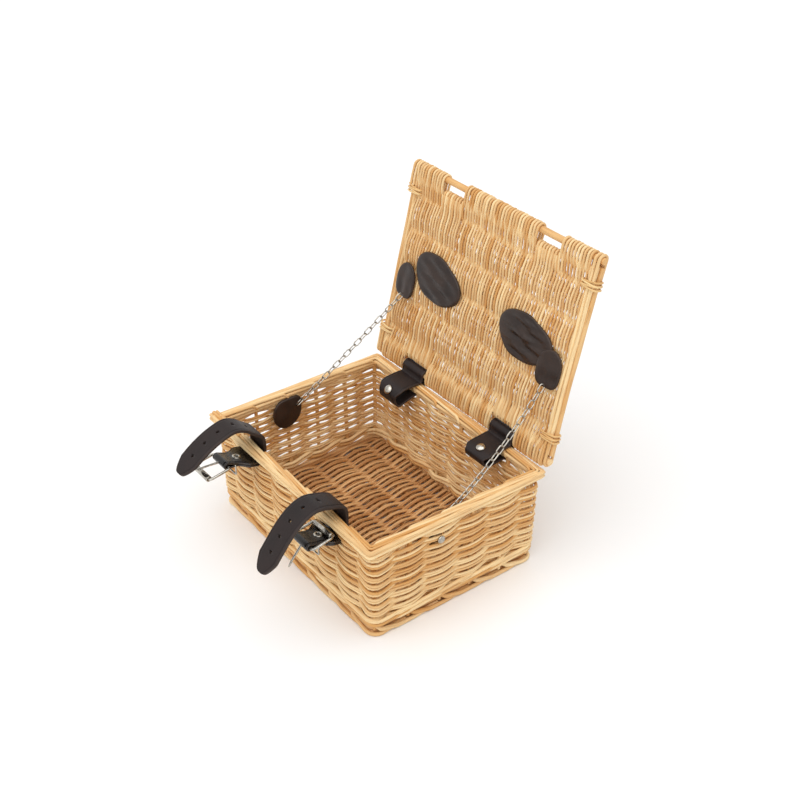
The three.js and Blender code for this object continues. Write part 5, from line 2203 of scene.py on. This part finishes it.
    def build_chain(self, hand: Hand, lid: Lid, links: ChainLinks) -> None:
        """String the links from the wall patch to the lid patch.

        Args:
            hand: the side.
            lid: the lid.
            links: the tree that sets links.
        """
        away, off = self.chain_start
        wall = self.wall_place(hand, np.zeros(1), np.zeros(1), np.array([off]))[0]
        foot = self.lid_v - self.lid_patch[1] / 2 + 3.0
        top = lid.place(hand.value * self.lid_x, foot, -self.chain_stand_off)
        pull = (top - wall) / np.linalg.norm(top - wall)
        start = wall + pull * away
        span = np.linalg.norm(top - start)
        count = round(span / self.link_pitch)
        share = (np.arange(count) + 0.5) / count
        places = start + np.outer(share, top - start)
        places[:, 2] -= 4 * self.chain_sag[hand] * share * (1 - share)
        mesh = bpy.data.meshes.new("chain_line")
        mesh.from_pydata((places * MM).tolist(), [(at, at + 1) for at in range(count - 1)], [])
        piece = links.run(
            f"chain_links_{hand.word}", mesh, link_length=(span / count + 2 * self.chain_wire) * MM,
            link_width=self.link_width * MM, wire=self.chain_wire * MM, material=NICKEL.material(),
        )
        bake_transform(piece)
        name_parts(piece, Slot.METAL, f"chain_{hand.word}")


@dataclass
class CarryHandle:
    """The leather carry handle that arches over the lid's outer face between two rivets."""

    v: float = 94.0
    rivet_x: float = 60.46
    width: float = 20.0
    thickness: float = 4.0
    end: float = 15.0
    seat: float = 3.9
    high: float = 29.2
    taper: tuple = (4.5, 8.0)  # narrower on each side, over this length
    head: tuple = (4.8, 2.1)  # radius, height

    def build(self, lid: Lid, rivets: DomeRivets) -> None:
        """Build and dress the handle and its rivets.

        Args:
            lid: the lid that carries it.
            rivets: the tree that sets rivet heads.
        """
        low = self.seat + self.thickness / 2
        half = [
            (self.rivet_x + self.end, low), (self.rivet_x, low + 0.1),
            (self.rivet_x - 0.7 * self.end, low + 0.8),
            (self.rivet_x - 1.3 * self.end, low + 0.18 * self.high), (0.4 * self.rivet_x, 0.82 * self.high),
        ]
        places = [(-x, w) for x, w in half] + [(0.0, self.high)] + half[::-1]
        path = BentPath([lid.place(x, self.v, w) for x, w in places], -lid.way(0, 1, 0))
        less, over = self.taper

        def half_width(distance: Array) -> Array:
            """Round the handle's ends."""
            toward = np.minimum(distance, path.length - distance)
            return self.width / 2 - less * (1 - np.sqrt(ease(toward, 0.0, over)))

        strip = LeatherStrip(path, half_width, self.thickness, 130)
        piece = strip.make("handle_leather", STRAP_LEATHER)
        settle(piece, "lid", Slot.STRAP, "carry_handle")
        seat = low + self.thickness / 2 + 0.3
        seats = [(lid.place(hand.value * self.rivet_x, self.v, seat), lid.way(0, 0, 1)) for hand in Hand]
        heads = rivets.rivets("handle_rivet_heads", *self.head, seats)
        settle(heads, "lid", Slot.METAL, *each("handle_rivet"))


@dataclass
class Studio:
    """A white floor, soft light from all round with a large lamp above the front, and the camera."""

    azimuth: float = 53.23
    elevation: float = 33.08
    focal_pixels: float = 1313.6
    image_pixels: int = 800
    sensor: float = 36.0
    camera_at: tuple = (798.8, -567.2, 782.6)
    floor_half: float = 6000.0
    floor: FloorFinish = FloorFinish()
    sky: float = 0.7
    key: float = 1.55
    key_from: tuple = (0.1, -0.32, 1.0)
    key_angle: float = 75.0

    def build(self) -> None:
        """Set up the camera, the light and the floor."""
        self.build_camera()
        self.build_world()
        self.build_key()
        self.build_floor()
        bpy.context.scene.view_settings.view_transform = "Standard"

    def build_camera(self) -> None:
        """Place the camera at the photograph's view."""
        a = math.radians(self.azimuth)
        e = math.radians(self.elevation)
        back = Vector((math.sin(a) * math.cos(e), -math.cos(a) * math.cos(e), math.sin(e)))
        right = Vector((math.cos(a), math.sin(a), 0.0))
        up = back.cross(right)
        data = bpy.data.cameras.new("camera")
        data.sensor_width = self.sensor
        data.lens = self.focal_pixels * self.sensor / self.image_pixels
        camera = bpy.data.objects.new("camera", data)
        turn = Matrix((right, up, back)).transposed().to_4x4()
        camera.matrix_world = Matrix.Translation(Vector(self.camera_at) * MM) @ turn
        bpy.context.scene.collection.objects.link(camera)
        bpy.context.scene.camera = camera

    def build_world(self) -> None:
        """Light the scene from all round, with white for the rays that show the background."""
        world = bpy.data.worlds.new("studio")
        world.use_nodes = True
        tree = world.node_tree
        tree.nodes.clear()
        light = add_node(tree, "ShaderNodeLightPath").node.outputs
        seen = light["Is Camera Ray"]
        for ray in ("Is Glossy Ray", "Is Transmission Ray"):
            seen = add_node(tree, "ShaderNodeMath", {0: seen, 1: light[ray]}, operation="MAXIMUM")
        strength = add_node(tree, "ShaderNodeMapRange", {"Value": seen, "To Min": self.sky})
        glow = add_node(tree, "ShaderNodeBackground", {"Color": (1.0, 1.0, 1.0, 1.0), "Strength": strength})
        add_node(tree, "ShaderNodeOutputWorld", {"Surface": glow})
        bpy.context.scene.world = world

    def build_key(self) -> None:
        """Add one large soft lamp above the front."""
        data = bpy.data.lights.new("key", "SUN")
        data.energy = self.key
        data.angle = math.radians(self.key_angle)
        lamp = bpy.data.objects.new("key", data)
        lamp.rotation_mode = "QUATERNION"
        lamp.rotation_quaternion = Vector(self.key_from).to_track_quat("Z", "Y")
        bpy.context.scene.collection.objects.link(lamp)

    def build_floor(self) -> None:
        """Lay a floor that looks white and keeps the object's shadow."""
        half = self.floor_half * MM
        mesh = bpy.data.meshes.new("floor")
        corners = [(-half, -half, 0.0), (half, -half, 0.0), (half, half, 0.0), (-half, half, 0.0)]
        mesh.from_pydata(corners, [], [(0, 1, 2, 3)])
        mesh.materials.append(self.floor.material())
        add_piece("floor", mesh)


def main() -> None:
    """Build the scene, piece by piece."""
    logging.basicConfig(level=logging.INFO, format="%(name)s: %(message)s")
    Studio().build()
    sweep = RodSweep()
    rivets = DomeRivets()
    lid = Lid()
    BasketBody().build(sweep)
    lid.build(sweep)
    Hinges().build(rivets)
    Straps().build(HolePunch())
    Buckles().build(sweep)
    ChainsAndPatches().build(lid, ChainLinks(), rivets)
    CarryHandle().build(lid, rivets)


if __name__ == "__main__":
    main()
